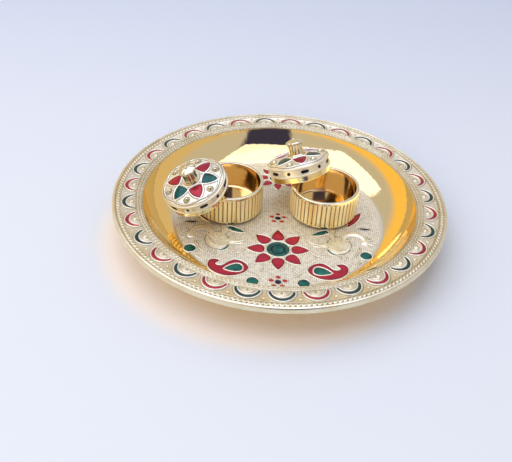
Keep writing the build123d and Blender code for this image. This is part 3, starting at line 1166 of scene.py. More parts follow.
@dataclass(frozen=True)
class Crescent:
    """A moon about the origin, thickest on +X, between an arc and the arc through its ends' inner corners."""

    radius: float
    thickness: float
    end_thickness: float
    spread: float
    steps: int = 30

    @property
    def rails(self) -> Tuple[Array, Array]:
        """The outer and inner arcs, with equally many points."""
        half = self.spread / 2
        radii = (self.radius, self.radius - self.end_thickness)
        middles = (self.radius, self.radius - self.thickness)
        outer, inner = [
            arc_through(polar(radius, -half), (middle, 0), polar(radius, half), self.steps)
            for radius, middle in zip(radii, middles)]
        return outer, inner

    @property
    def outline(self) -> Array:
        """The closed outline."""
        outer, inner = self.rails
        return closed(outer, np.array([outer[-1], inner[-1]]), inner[::-1], np.array([inner[0], outer[0]]))


@dataclass(frozen=True)
class Brim:
    """The scalloped band: enamel moons round the brim, with a fluted shell in each and a stud between."""

    plate: Plate
    cells: Cells
    count: int = 31
    front: float = -89.4
    centre_radius: float = 87.0
    moon: Crescent = Crescent(6.8, 1.8, 1.0, 176.0)
    arc_radius: float = 3.9
    arc_half_spread: float = 86.0
    arc_steps: int = 24
    arc_width: float = 0.6
    arc_height: float = 0.42
    shell_gap: float = 0.4
    shell_reach: float = 3.1
    shell_height: float = 0.32
    stud_radius: float = 92.3
    stud_size: float = 1.0
    stud_tip: float = 1.25
    stud_corner_angle: float = 120.0
    stud_swell: float = 0.12
    stud_sink: float = 0.3
    stud_rise: float = 0.1
    stud_dome: float = 0.25

    def angle(self, index: float) -> float:
        """Returns a moon's angle, or the angle between two moons at a half."""
        return self.front + index * 360 / self.count

    def all_round(self, points: Array) -> List[Array]:
        """Returns points about the origin, moved out to the moons' circle and turned to each moon's angle."""
        return [turned(points + [self.centre_radius, 0], self.angle(index)) for index in range(self.count)]

    def wires(self) -> List[Shape]:
        """The raised wires round the moons and the fine arc inside each.

        Returns:
            Their surfaces.
        """
        ground = self.plate.brim_ground
        low, high = [polar(self.arc_radius, sign * self.arc_half_spread) for sign in (-1, 1)]
        arc = arc_through(low, (self.arc_radius, 0), high, self.arc_steps)
        wires = [self.cells.wire(outline, ground) for outline in self.all_round(self.moon.outline)]
        return wires + [vein(path, self.arc_width, ground, self.arc_height) for path in self.all_round(arc)]

    def shells(self) -> List[Shape]:
        """The fluted shells inside the moons, with their hinges at the border.

        Returns:
            Their surfaces.
        """
        ground = self.plate.brim_ground
        hinge = self.plate.well_radius + self.plate.border_width + self.shell_gap
        angles = [self.angle(index) for index in range(self.count)]
        return [
            shell(polar(hinge, angle), angle, self.shell_reach, ground, self.shell_height) for angle in angles]

    def studs(self) -> List[Shape]:
        """The pointed studs between the moons, with their tips inwards.

        Returns:
            Their surfaces.
        """
        size, ground = self.stud_size, self.plate.brim_ground
        outline = fan(-size, size, self.stud_corner_angle, self.stud_tip, self.stud_swell)[::-1]
        angles = [self.angle(index + 0.5) for index in range(self.count)]
        outlines = [turned(outline, angle + 180) + polar(self.stud_radius, angle) for angle in angles]
        low, high = ground - self.stud_sink, ground + self.stud_rise
        return [pillow(outline, low, high, self.stud_dome) for outline in outlines]

    def build(self) -> None:
        """Makes the moons, their wires, the shells and the studs."""
        top, ground = self.plate.brim_top, self.plate.brim_ground
        rails = zip(*map(self.all_round, self.moon.rails))
        moons = [self.cells.band(outer, inner, top) for outer, inner in rails]
        for first, node in enumerate(("rim_scallops_green", "rim_scallops_red")):
            make_piece(f"{node}_fill", moons[first::2], BRIM_ENAMELS[SLOTS[node]], "plate", [node])
        # Painted shade: a low dark line on both sides of each moon's wire.
        shade_lines = [self.cells.shade(outline, ground) for outline in self.all_round(self.moon.outline)]
        make_piece("scallop_shade_lines", shade_lines, SHADE_LINE_GOLD, "plate")
        make_piece("scallop_wires", self.wires(), WIRE_HIGHLIGHT_GOLD, "plate")
        make_piece("scallop_shells", self.shells(), RELIEF_GOLD, "plate")
        make_piece("brim_studs", self.studs(), RELIEF_GOLD, "plate")


@dataclass(frozen=True)
class Blossom:
    """A flower of petals round a boss."""

    place: Point
    boss_radius: float
    petal_start: float
    petal_length: float
    petal_width: float
    count: int = 8

    @property
    def boss(self) -> Array:
        """The boss's outline."""
        return circle(self.boss_radius) + self.place

    @property
    def petals(self) -> List[Array]:
        """The petals' outlines."""
        outline = petal(self.petal_length, self.petal_width) + [self.petal_start, 0]
        return [turned(outline, 360 / self.count * index) + self.place for index in range(self.count)]


@dataclass(frozen=True)
class Leaf:
    """A pair of pointed leaves: the right one's root, size and direction."""

    root: Point
    length: float
    width: float
    angle: float

    @property
    def outlines(self) -> List[Array]:
        """The right and the left leaf's outlines."""
        return mirrored_pair(lens(self.length, self.width), self.root, self.angle)


@dataclass(frozen=True)
class Floor:
    """The floor's enamel motifs; each place is on the right of a mirrored pair.

    The paisley's shares, times its length, are points of its curled outline about its place.
    """

    plate: Plate
    cells: Cells
    flower: Blossom = Blossom((0.0, -30.5), 6.7, 8.0, 10.5, 7.5)
    back_flower: Blossom = Blossom((0.0, 45.0), 5.4, 6.6, 7.4, 5.0)
    small_flowers: Tuple[Point, ...] = ((0.0, 0.0), (0.0, -59.5))
    small_middle_radius: float = 1.9
    small_petal_radius: float = 1.3
    small_petal_reach: float = 4.0
    small_petal_count: int = 5
    dots: Tuple[Point, ...] = ((51.5, -33.0), (14.3, -59.7))
    dot_radius: float = 3.3
    boss_ring_share: float = 0.58
    boss_ring_width: float = 1.5
    boss_ring_height: float = 0.45
    paisley: Point = (24.0, -48.5)
    paisley_length: float = 23.0
    paisley_steps: int = 110
    paisley_shares: Tuple[Point, ...] = (
        (0.013, 0.287), (-0.300, 0.004), (-0.074, -0.257), (0.261, -0.309), (0.578, -0.148), (0.696, 0.100),
        (0.574, 0.287), (0.426, 0.226), (0.522, 0.122), (0.409, 0.043), (0.248, 0.143))
    drop_shares: Point = (-0.152, 0.022)
    drop_size: Point = (10.2, 6.5)
    drop_angle: float = -11.0
    leaf: Leaf = Leaf((20.0, -16.0), 14.3, 3.4, 24.8)
    tip: Leaf = Leaf((49.0, -7.0), 8.0, 1.7, -3.6)
    feather: Leaf = Leaf((42.5, -6.0), 18.2, 4.0, 58.5)
    sickle: Crescent = Crescent(5.4, 1.2, 0.5, 95.0)
    sickle_place: Point = (34.5, -28.5)
    sickle_angle: float = 225.0

    def small_petals(self) -> List[Array]:
        """The round petals of the small flowers.

        Returns:
            Their outlines.
        """
        dot = circle(self.small_petal_radius, 24) + [self.small_petal_reach, 0]
        count = self.small_petal_count
        ring = [turned(dot, 90 + 360 / count * index) for index in range(count)]
        return [outline + place for place in self.small_flowers for outline in ring]

    def outlines(self) -> Dict[str, List[Array]]:
        """The outlines of the cells with a simple domed fill.

        Returns:
            Lists of outlines by node.
        """
        dot, middle = circle(self.dot_radius, 40), circle(self.small_middle_radius, 32)
        drop_place = np.multiply(self.drop_shares, self.paisley_length)
        drop = turned(petal(*self.drop_size), self.drop_angle) + drop_place
        return {
            "flower_boss": [self.flower.boss],
            "flower_petals": self.flower.petals,
            "back_flower_boss": [self.back_flower.boss],
            "back_flower_petals": self.back_flower.petals,
            "small_flower_middles": [middle + place for place in self.small_flowers],
            "small_flower_petals": self.small_petals(),
            "green_dots": [outline for place in self.dots for outline in mirrored_pair(dot, place)],
            "paisley_drops": mirrored_pair(drop, self.paisley),
            "green_leaves": self.leaf.outlines,
            "dark_tips": self.tip.outlines,
            "red_feathers": self.feather.outlines}

    def boss_ring(self, boss: Array) -> Shape:
        """Returns the ring on a boss, at a share of the way out to its edge."""
        ring = boss.mean(0) + self.boss_ring_share * (boss - boss.mean(0))
        return ridge(ring, self.boss_ring_width, self.plate.floor_top, self.boss_ring_height)

    def build(self) -> None:
        """Makes the fills, their edges, wires and dark lines of painted shade beside the wires, and dresses the
        paisleys' bodies.
        """
        top, ground, cells = self.plate.floor_top, self.plate.floor_ground, self.cells
        wires: List[Shape] = []
        shade_lines: List[Shape] = []
        edges: Dict[str, List[Shape]] = {slot: [] for slot in EDGE_ENAMELS}
        for node, outlines in self.outlines().items():
            slot = SLOTS[node]
            fills = [cells.fill(outline, top) for outline in outlines]
            make_piece(f"{node}_fill", fills, ENAMELS[slot], "plate", [node])
            small = node.startswith(("small", "dark"))
            if node.endswith("boss"):
                edges[slot].append(self.boss_ring(outlines[0]))
            if not small:
                edges[slot] += [cells.edge(outline, top) for outline in outlines]
            if not node.startswith("dark"):
                wires += [cells.wire(outline, ground, small) for outline in outlines]
            # Painted shade: a low dark line on both sides of each cell's wire.
            shade_lines += [cells.shade(outline, ground, small) for outline in outlines]
        rails = [turned(rail, self.sickle_angle) + self.sickle_place for rail in self.sickle.rails]
        sickles = [cells.band(*[rail * [sign, 1] for rail in rails], top) for sign in (1, -1)]
        make_piece("green_sickles_fill", sickles, ENAMELS[SLOTS["green_sickles"]], "plate", ["green_sickles"])
        shares = np.array(self.paisley_shares)
        paisleys = mirrored_pair(closed_spline(shares * self.paisley_length, self.paisley_steps), self.paisley)
        curled = paisleys + mirrored_pair(self.sickle.outline, self.sickle_place, self.sickle_angle)
        wires += [cells.wire(outline, ground) for outline in curled]
        shade_lines += [cells.shade(outline, ground) for outline in curled]
        edges[SLOTS["paisley_bodies"]] += [cells.edge(outline, top + cells.dome / 2) for outline in paisleys]
        for slot, shapes in edges.items():
            make_piece(f"floor_{slot}_edges", shapes, EDGE_ENAMELS[slot], "plate")
        make_piece("floor_wires", wires, WIRE_HIGHLIGHT_GOLD, "plate")
        make_piece("floor_shade_lines", shade_lines, SHADE_LINE_GOLD, "plate")
        dress_node("paisley_bodies")


class Stroke(Enum):
    """The kinds of line that a peacock is drawn with: width, height and number of points."""

    NECK = (4.8, 0.9, 30)
    BEAK = (1.7, 0.55, 10)
    CREST = (0.9, 0.45, 12)
    PLUME = (1.6, 0.44, 26)
    QUILL = (0.7, 0.38, 26)
    FOOT = (0.9, 0.42, 12)
    SPRIG = (0.9, 0.42, 24)

    def __init__(self, width: float, height: float, steps: int) -> None:
        """Keeps the three values by name."""
        self.width = width
        self.height = height
        self.steps = steps


@dataclass(frozen=True)
class Line:
    """A drawn line of relief."""

    stroke: Stroke
    path: Array

    @staticmethod
    def bent(stroke: Stroke, start: Point, end: Point, bend: float) -> "Line":
        """Returns a line between two points that bulges to the left of its way."""
        return Line(stroke, swollen(start, end, bend, stroke.steps))


@dataclass(frozen=True)
class Peacock:
    """An uncoloured embossed peacock on the floor, written for the right-hand side and mirrored on the left.

    The crest's and the plumes' lines are given by their ends and bends, and the sprigs by both ends and a bend.
    """

    plate: Plate
    body: Point = (36.2, -24.4)
    body_size: Point = (7.3, 8.4)
    body_angle: float = -18.0
    body_dome: float = 0.5
    body_sink: float = 0.4
    body_rise: float = 0.1
    head: Point = (52.0, -20.6)
    head_radius: float = 2.5
    head_dome: float = 0.75
    wing_hinge: Point = (37.2, -29.0)
    wing_angles: Tuple[float, ...] = (62.0, 84.0, 106.0, 128.0, 150.0)
    feather_size: Point = (11.0, 3.6)
    feather_width: float = 0.6
    feather_rise: float = 0.6
    feather_height: float = 0.5
    shade_line_width: float = 0.9
    shade_line_rise: float = 0.1
    neck: Tuple[Point, Point, Point] = ((40.2, -22.5), (46.2, -12.8), (52.0, -19.6))
    beak: Tuple[Point, Point] = ((53.4, -21.2), (57.4, -23.6))
    crest_root: Point = (52.6, -18.8)
    crest: Tuple[Tuple[Point, float], ...] = (((54.2, -14.0), 0.6), ((56.4, -15.4), 0.3), ((57.6, -17.6), -0.2))
    plume_root: Point = (33.0, -20.6)
    quill_root: Point = (34.4, -20.0)
    quill_bend: float = 1.5
    plumes: Tuple[Tuple[Point, float], ...] = (
        ((27.4, -12.4), -1.2), ((26.0, -7.6), -2.6), ((33.0, -5.4), 1.2),
        ((36.0, -4.6), 1.0), ((17.5, -20.2), 4.4), ((19.5, -25.5), 3.0))
    feet: Tuple[Tuple[Point, Point], ...] = (((34.6, -32.0), (36.4, -38.0)), ((38.0, -32.2), (40.6, -37.8)))
    foot_bend: float = 0.8
    sprigs: Tuple[Tuple[Point, Point, float], ...] = (
        ((42.5, -36.0), (47.0, -27.0), -1.6), ((28.0, -36.4), (17.2, -27.0), 2.6),
        ((43.5, -42.5), (49.0, -38.0), -0.4), ((46.5, -30.5), (48.5, -24.5), -1.0),
        ((20.0, -38.5), (30.0, -33.0), 1.6), ((44.6, -31.5), (44.0, -25.0), 1.2),
        ((13.0, -52.0), (8.0, -46.5), 1.0), ((5.5, -55.0), (14.0, -50.0), -1.5))

    @property
    def body_outline(self) -> Array:
        """The body's oval."""
        return turned(circle(1.0, 40) * self.body_size, self.body_angle) + self.body

    @cached_property
    def lines(self) -> List[Line]:
        """The bird's drawn lines: neck, beak, crest, plumes, feet and sprigs."""
        lines = [
            Line(Stroke.NECK, arc_through(*self.neck, Stroke.NECK.steps)),
            Line(Stroke.BEAK, np.linspace(*self.beak, Stroke.BEAK.steps))]
        lines += [Line.bent(Stroke.CREST, self.crest_root, end, bend) for end, bend in self.crest]
        for end, bend in self.plumes:
            lines.append(Line.bent(Stroke.PLUME, self.plume_root, end, bend))
            lines.append(Line.bent(Stroke.QUILL, self.quill_root, end, self.quill_bend * bend))
        lines += [Line.bent(Stroke.FOOT, start, end, self.foot_bend) for start, end in self.feet]
        return lines + [Line.bent(Stroke.SPRIG, start, end, bend) for start, end, bend in self.sprigs]

    def reliefs(self) -> List[Shape]:
        """The bird's raised shapes: its body, head and wing, and its lines.

        Returns:
            Their surfaces, on the right.
        """
        ground = self.plate.floor_ground
        low, high = ground - self.body_sink, ground + self.body_rise
        shapes = [
            pillow(self.body_outline, low, high, self.body_dome),
            pillow(circle(self.head_radius, 24) + self.head, low, high, self.head_dome)]
        base, sink = ground + self.feather_rise, self.feather_rise
        for angle in self.wing_angles:
            feather = turned(petal(*self.feather_size), angle) + self.wing_hinge
            shapes.append(ridge(feather, self.feather_width, base, self.feather_height, sink))
        return shapes + [vein(line.path, line.stroke.width, ground, line.stroke.height) for line in self.lines]

    def shade_lines(self) -> List[Shape]:
        """The low dark lines of painted shade on both sides of the bird's lines and round its body.

        Returns:
            Their surfaces, on the right.
        """
        ground, height = self.plate.floor_ground, self.plate.rule_height + self.shade_line_rise
        width = self.shade_line_width
        shapes = [vein(line.path, line.stroke.width + width, ground, height) for line in self.lines]
        return shapes + [ridge(self.body_outline, width, ground, height)]

    def build(self) -> None:
        """Makes both birds."""
        # The second layer is painted shade: dark lines beside the bird's relief.
        layers = (("peacock", self.reliefs(), MOTIF_GOLD), ("peacock_shade_lines", self.shade_lines(), SHADE_LINE_GOLD))
        for side in Side:
            mirror = np.diag([side.sign, 1.0, 1.0, 1.0])
            for label, shapes, finish in layers:
                make_piece(f"{side.value}_{label}", [shape.placed(mirror) for shape in shapes], finish, "plate")


# Bowls and lids

@dataclass(frozen=True)
class Bowl:
    """A reeded bowl with a smooth rim and foot, and a pale band over the rim that stands a hair proud as a
    painted highlight.
    """

    side: Side
    radius: float = 21.0
    height: float = 19.0
    wall: float = 1.9
    floor: float = 1.8
    corner: float = 0.5
    inner_round: float = 1.6
    round_cut: float = 0.3
    base_height: float = 1.2
    reed_count: int = 48
    reed_depth: float = 0.6
    reed_margin: float = 0.4
    reed_rows: int = 14
    reed_steps: int = 12
    rim_height: float = 1.8
    rim_step_depth: float = 0.1
    rim_step_height: float = 0.25
    rim_highlight_proud: float = 0.04
    rim_segments: int = 144

    @property
    def node(self) -> str:
        """The bowl's node and body."""
        return f"{self.side.value}_bowl"

    @property
    def inner_radius(self) -> float:
        """The radius of the bowl's inside."""
        return self.radius - self.wall

    @property
    def core_radius(self) -> float:
        """The radius of the grooves between the reeds."""
        return self.radius - self.reed_depth

    @property
    def rim_bottom(self) -> float:
        """The height where the reeds end and the rim begins."""
        return self.height - self.rim_height

    @cached_property
    def foot(self) -> Array:
        """The middle of the bowl's underside."""
        low, high = [np.array(corner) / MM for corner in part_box(self.node)]
        return np.array([*(low + high)[:2] / 2, low[2]])

    @property
    def finish(self) -> ReededPlating:
        """The bowl's own plating, with its grooves about its own axis."""
        across, ahead, up = self.foot
        return ReededPlating(
            f"{self.node}_gold", BOWL_GOLD.slot, BOWL_GOLD.tone, BOWL_GOLD.deep_tone, BOWL_GOLD.roughness,
            middle=(across, ahead), reeds=self.reed_count, reed_radius=self.core_radius,
            inner_radius=self.inner_radius, heights=(up + self.base_height, up + self.rim_bottom))

    def rim_rounds(self, proud: float) -> List[Array]:
        """The roundings of the rim's outer and inner edges.

        Args:
            proud: How far they stand off the bowl.

        Returns:
            Their (radius, height) points, from the outside in.
        """
        outer, inner = self.radius + proud, self.inner_radius - proud
        top, edge = self.height + proud, self.corner
        return [
            rounded((outer, top - edge), (outer, top), (outer - edge, top), 6, self.round_cut),
            rounded((inner + edge, top), (inner, top), (inner, top - edge), 6, self.round_cut)]

    def section(self) -> Tuple[Array, Array]:
        """The bowl's section from the middle of its underside round to the middle of its floor.

        Returns:
            Its (radius, height) points, and how far each is reeded, 0 or 1.
        """
        outer, inner, core = self.radius, self.inner_radius, self.core_radius
        low, high, bend = self.base_height, self.rim_bottom, self.inner_round
        base = np.array([(0, 0), (core - self.corner, 0), (core, self.corner), (core, low)])
        rows = np.linspace(low + self.reed_margin, high - self.reed_margin, self.reed_rows)
        reeds = np.stack([np.full_like(rows, outer), rows], -1)
        floor = self.floor
        cove = rounded((inner, floor + bend), (inner, floor), (inner - bend, floor), 8, self.round_cut)
        rim_step = [(outer - self.rim_step_depth, high), (outer, high + self.rim_step_height)]
        smooth = np.concatenate([rim_step, *self.rim_rounds(0.0), cove, [(0, floor)]])
        reeded = np.repeat([0, 1, 0], [len(base), len(reeds), len(smooth)])
        return np.concatenate([base, reeds, smooth]), reeded

    def rim_highlight_profile(self) -> Array:
        """The closed section of the pale band over the rim, which paints the rim's highlight.

        Returns:
            Its (radius, height) points.
        """
        low, middle = self.rim_bottom, (self.radius + self.inner_radius) / 2
        start = [(middle, low), (self.radius + self.rim_highlight_proud, low)]
        return np.concatenate([start, *self.rim_rounds(self.rim_highlight_proud), [(middle, low + self.corner)]])

    def build(self) -> None:
        """Makes the bowl: its section turned about the axis, drawn in between the reeds.

        Across each reed, at share q from -1 to 1 of its half width, the wall draws in by the depth times q^4.
        """
        plain, reeded = self.section()
        across = lobes(self.reed_count, self.reed_steps)
        radius = plain[:, :1] - self.reed_depth * reeded[:, None] * across ** 4
        wall = Shape.grid(revolved(radius, plain[:, 1:], len(across)), False, True)
        make_piece(f"{self.node}_shell", [wall.moved(self.foot)], self.finish, self.node, [self.node])
        # The rim piece is a pale band a hair proud of the bowl that paints the rim's highlight.
        rim = lathe(self.rim_highlight_profile(), self.rim_segments)
        make_piece(f"{self.node}_rim", [rim.moved(self.foot)], BOWL_RIM_HIGHLIGHT_GOLD, self.node)


@dataclass(frozen=True)
class Knob:
    """A lid's lobed knob: a flange, a waisted barrel, a wider crown that domes over, and a small button."""

    radius: float = 4.7
    waist: float = 0.25
    neck_height: float = 6.6
    shoulder_inset: float = 0.2
    shoulder_rise: float = 0.45
    crown_radius: float = 5.5
    crown_height: float = 7.7
    height: float = 9.3
    dome_sweep: float = 82.8
    button_radius: float = 1.0
    button_start: float = -17.19
    flange_radius: float = 5.6
    flange_height: float = 0.8
    flange_bevel: float = 0.4
    sink: float = 0.4
    flutes: int = 8
    flute_depth: float = 0.55
    flute_limit: float = 0.2
    flute_steps: int = 16

    def section(self) -> Tuple[Array, Array]:
        """The knob's section from its sunk underside up to the top of the button.

        Returns:
            Its (radius, height) points, and how far each is fluted, 0 or 1.
        """
        flange, foot, neck = self.flange_radius, self.flange_height, self.neck_height
        crown, crown_height = self.crown_radius, self.crown_height
        base = np.array([
            (0, -self.sink), (flange, -self.sink), (flange, foot / 2), (flange - self.flange_bevel, foot)])
        share = np.linspace(0, 1, 12)
        waist = self.radius - self.waist * np.sin(np.pi * share)
        shoulder_middle = (crown - self.shoulder_inset, neck + self.shoulder_rise)
        shoulder = arc_through((self.radius, neck), shoulder_middle, (crown, crown_height), 7)
        dome = np.linspace(0, np.radians(self.dome_sweep), 10)[1:]
        dome_height = crown_height + (self.height - crown_height) * np.sin(dome)
        barrel = np.concatenate([
            np.stack([waist, foot + share * (neck - foot)], -1),
            shoulder[1:],
            np.stack([crown * np.cos(dome), dome_height], -1)])
        ball = np.linspace(np.radians(self.button_start), np.pi / 2, 9)
        button = [0, self.height] + self.button_radius * np.stack([np.cos(ball), np.sin(ball)], -1)
        fluted = np.repeat([0, 1, 0], [len(base), len(barrel), len(button)])
        return np.concatenate([base, barrel, button]), fluted

    def shape(self, base: float) -> Shape:
        """The knob on a base.

        Across each lobe, at share q from -1 to 1 of its half width, the radius is the section's less the flutes'
        depth times q^2. The depth is at most a share of the radius.

        Args:
            base: The height that it stands on.

        Returns:
            The closed surface.
        """
        points, fluted = self.section()
        depth = np.minimum(self.flute_depth, self.flute_limit * points[:, :1]) * fluted[:, None]
        across = lobes(self.flutes, self.flute_steps)
        radius = points[:, :1] - depth * across ** 2
        return Shape.grid(revolved(radius, points[:, 1:] + base, len(across)), False, True)


@dataclass(frozen=True)
class Lid:
    """A lid propped on its bowl's rim: a crowned cap with petals, studs and wires, a plug and a knob.

    Its middle stands a reach from the bowl's axis, towards its lean's angle, and it is turned on its own axis.
    """

    bowl: Bowl
    cells: Cells
    reach: float
    lean: float
    turn: float
    knob: Knob = Knob()
    radius: float = 19.4
    skirt_inset: float = 0.12
    height: float = 7.2
    edge_round: float = 1.4
    crown_height: float = 2.6
    crown_radius: float = 17.56
    ground_drop: float = 0.2
    segments: int = 144
    bead: float = 0.6
    bead_shares: Point = (0.1, 0.78)
    bead_margin: float = 0.25
    plate: float = 0.8
    plug_radius: float = 18.8
    plug_wall: float = 1.4
    plug_depth: float = 2.6
    plug_bevel: float = 0.3
    rest_gap: float = 0.3
    petal_count: int = 6
    petal_inner: float = 7.1
    petal_corner: float = 8.4
    petal_corner_angle: float = 26.8
    petal_tip: float = 16.0
    petal_swell: float = 1.3
    ring_width: float = 0.9
    ring_height: float = 0.6
    ring_sink: float = 0.6
    ring_radii: Point = (16.9, 18.1)
    knob_ring_gap: float = 0.6
    knob_ring_width: float = 0.8
    knob_ring_height: float = 0.5
    stud_place: float = 15.1
    stud_radius: float = 1.55
    stud_sink: float = 0.3
    stud_rise: float = 0.2
    stud_height: float = 1.35
    stud_shade_radius: float = 1.7
    stud_shade_width: float = 1.1

    @property
    def name(self) -> str:
        """The lid's body."""
        return f"{self.bowl.side.value}_lid"

    @property
    def top(self) -> float:
        """The height of the cap's top over the plug's ceiling."""
        return self.plate + self.height

    @property
    def ground(self) -> float:
        """The cap's ground, a little below the enamel's top."""
        return self.top - self.ground_drop

    @cached_property
    def place(self) -> Array:
        """The 4 by 4 matrix from the lid's own axes to the part's.

        The plug's ring crosses the bowl's rim at two points and its ceiling meets the outermost one, so the tilt
        is the angle whose sine is the plug's depth over the distance between them.
        """
        rim, inner = self.bowl.radius, self.plug_radius - self.plug_wall
        crossing = (self.reach ** 2 + rim ** 2 - inner ** 2) / (2 * self.reach)
        tilt = np.arcsin(self.plug_depth / (rim - crossing))
        height = self.bowl.height + self.rest_gap / np.cos(tilt) + (rim - self.reach) * np.tan(tilt)
        shift = self.bowl.foot + [*polar(self.reach, self.lean), height]
        lean, turn = np.radians(self.lean), np.radians(self.turn - self.lean)
        turns = Matrix.Rotation(lean, 4, "Z") @ Matrix.Rotation(tilt, 4, "Y") @ Matrix.Rotation(turn, 4, "Z")
        return np.array(Matrix.Translation(shift) @ turns)

    def lift(self, radius: Union[float, Array]) -> Union[float, Array]:
        """Returns how far the crown stands above the cap's edge: its height times 1 - (radius / its radius)^2."""
        return self.crown_height * np.maximum(1 - (radius / self.crown_radius) ** 2, 0)

    def crowned(self, shapes: Sequence[Shape]) -> List[Shape]:
        """Returns surfaces that were made on a flat top, lifted on to the crown."""
        radii = [np.hypot(shape.points[:, :1], shape.points[:, 1:2]) for shape in shapes]
        return [shape.moved(self.lift(radius) * [0, 0, 1]) for shape, radius in zip(shapes, radii)]

    def cap_profile(self) -> Array:
        """The cap's closed section: a crown, a rounded edge, and a skirt with two beads.

        Returns:
            Its (radius, height) points.
        """
        side, ground, edge, bead = self.radius - self.skirt_inset, self.ground, self.edge_round, self.bead
        low, high = [self.plate + share * self.height for share in self.bead_shares]
        low_bead, high_bead = [
            arc_through((side, middle + bead), (side + bead, middle), (side, middle - bead), 12)
            for middle in (low, high)]
        margin = bead + self.bead_margin
        crown = np.linspace(0, self.crown_radius, 16)
        return np.concatenate([
            np.stack([crown, ground + self.lift(crown)], -1),
            rounded((side - edge, ground), (side, ground), (side, ground - edge), 8),
            high_bead, [(side, high - margin), (side, low + margin)], low_bead,
            [(side, self.plate), (0, self.plate)]])

    def plug_profile(self) -> Array:
        """The plug's closed section: a plate with a ring below it.

        Returns:
            Its (radius, height) points.
        """
        outer, inner = self.plug_radius, self.plug_radius - self.plug_wall
        depth, bevel = self.plug_depth, self.plug_bevel
        return np.array([
            (0, self.plate), (outer, self.plate), (outer, bevel - depth), (outer - bevel, -depth),
            (inner + bevel, -depth), (inner, bevel - depth), (inner, 0), (0, 0)])

    @cached_property
    def petals(self) -> List[Array]:
        """The petals' outlines on the cap's top, red and green in turn."""
        outline = fan(
            self.petal_inner, self.petal_corner, self.petal_corner_angle, self.petal_tip, self.petal_swell)
        return [turned(outline, index * 360 / self.petal_count) for index in range(self.petal_count)]

    @cached_property
    def stud_places(self) -> List[Array]:
        """The studs' middles, one between each two petals."""
        angles = (np.arange(self.petal_count) + 0.5) * 360 / self.petal_count
        return [polar(self.stud_place, angle) for angle in angles]

    @cached_property
    def ring(self) -> Array:
        """The lobed ring's middle line.

        Its radius grows from its smaller value at each petal's tip to its larger one at each stud, with the
        absolute sine of half the petals' angle.
        """
        low, high = self.ring_radii
        swell = np.abs(np.sin(self.petal_count / 2 * TURN * spaced(self.segments)))[:, None]
        return circle(1.0, self.segments) * (low + (high - low) * swell)

    def studs(self) -> List[Shape]:
        """Returns the domed studs."""
        outlines = [circle(self.stud_radius, 24) + place for place in self.stud_places]
        low, high = self.ground - self.stud_sink, self.ground + self.stud_rise
        return [pillow(outline, low, high, self.stud_height) for outline in outlines]

    def wires(self) -> List[Shape]:
        """The raised lines on the cap's top: round the petals, the lobed ring, and round the knob.

        Returns:
            Their surfaces, on a flat top.
        """
        knob_ring = circle(self.knob.flange_radius + self.knob_ring_gap, 64)
        return [self.cells.wire(outline, self.ground) for outline in self.petals] + [
            ridge(self.ring, self.ring_width, self.ground, self.ring_height, self.ring_sink),
            ridge(knob_ring, self.knob_ring_width, self.ground, self.knob_ring_height)]

    def shade_lines(self) -> List[Shape]:
        """The dark lines of painted shade beside the petals' wires and the lobed ring, and round the studs.

        Returns:
            Their surfaces, on a flat top.
        """
        width, height = self.ring_width + 2 * self.cells.shade_margin, self.cells.shade_line_height
        shapes = [self.cells.shade(outline, self.ground) for outline in self.petals]
        shapes.append(ridge(self.ring, width, self.ground, height, self.ring_sink))
        circles = [circle(self.stud_shade_radius, 32) + place for place in self.stud_places]
        return shapes + [ridge(outline, self.stud_shade_width, self.ground, height) for outline in circles]

    def build(self) -> None:
        """Makes the lid's pieces in their places, and dresses the cells of its skirt."""
        knob_base = self.top + self.lift(self.knob.flange_radius)
        pieces = [
            ("cap", [lathe(self.cap_profile(), self.segments)], LID_GOLD, ["lid_top"]),
            ("plug", [lathe(self.plug_profile(), self.segments)], BOWL_GOLD, ["lid_plug"]),
            ("knob", [self.knob.shape(knob_base)], KNOB_GOLD, ["lid_knob"]),
            ("studs", self.crowned(self.studs()), LID_BEAD_GOLD, []),
            ("wires", self.crowned(self.wires()), LID_WIRE_HIGHLIGHT_GOLD, []),
            # Painted shade: dark lines beside the wires and round the studs.
            ("shade_lines", self.crowned(self.shade_lines()), LID_SHADE_LINE_GOLD, [])]
        for first, colour in enumerate(("red", "green")):
            slot, outlines = f"{colour}_enamel", self.petals[first::2]
            fills = self.crowned([self.cells.fill(outline, self.top) for outline in outlines])
            edges = self.crowned([self.cells.edge(outline, self.top) for outline in outlines])
            pieces.append((f"{colour}_fill", fills, LID_ENAMELS[slot], [f"lid_petals_{colour}"]))
            pieces.append((f"{colour}_edges", edges, EDGE_ENAMELS[slot], []))
        for label, shapes, finish, nodes in pieces:
            placed = [shape.placed(self.place) for shape in shapes]
            replaced = [f"{self.bowl.side.value}_{node}" for node in nodes]
            make_piece(f"{self.name}_{label}", placed, finish, self.name, replaced)
        dress_node(f"{self.name}_skirt_cells")


# The stage

@dataclass(frozen=True)
class Lamp:
    """A soft rectangular lamp, which is aimed at the plate or level.

    One that isn't mirrored doesn't show in bright metal, and one that isn't lighting shows only there.
    """

    name: str
    place: Place
    size: float
    power: float
    aspect: float = 0.68
    colour: Colour = (1.0, 1.0, 1.0)
    mirrored: bool = True
    lighting: bool = True
    level: bool = False

    def build(self) -> None:
        """Makes the lamp."""
        light = bpy.data.lights.new(self.name, "AREA")
        light.shape = "RECTANGLE"
        light.size, light.size_y = self.size * MM, self.aspect * self.size * MM
        light.energy = self.power
        light.color = self.colour
        lamp = bpy.data.objects.new(self.name, light)
        lamp.location = Vector(self.place) * MM
        if not self.level:
            lamp.rotation_euler = (-lamp.location).to_track_quat("-Z", "Y").to_euler()
        lamp.visible_glossy = self.mirrored
        lamp.visible_diffuse = self.lighting
        bpy.context.scene.collection.objects.link(lamp)


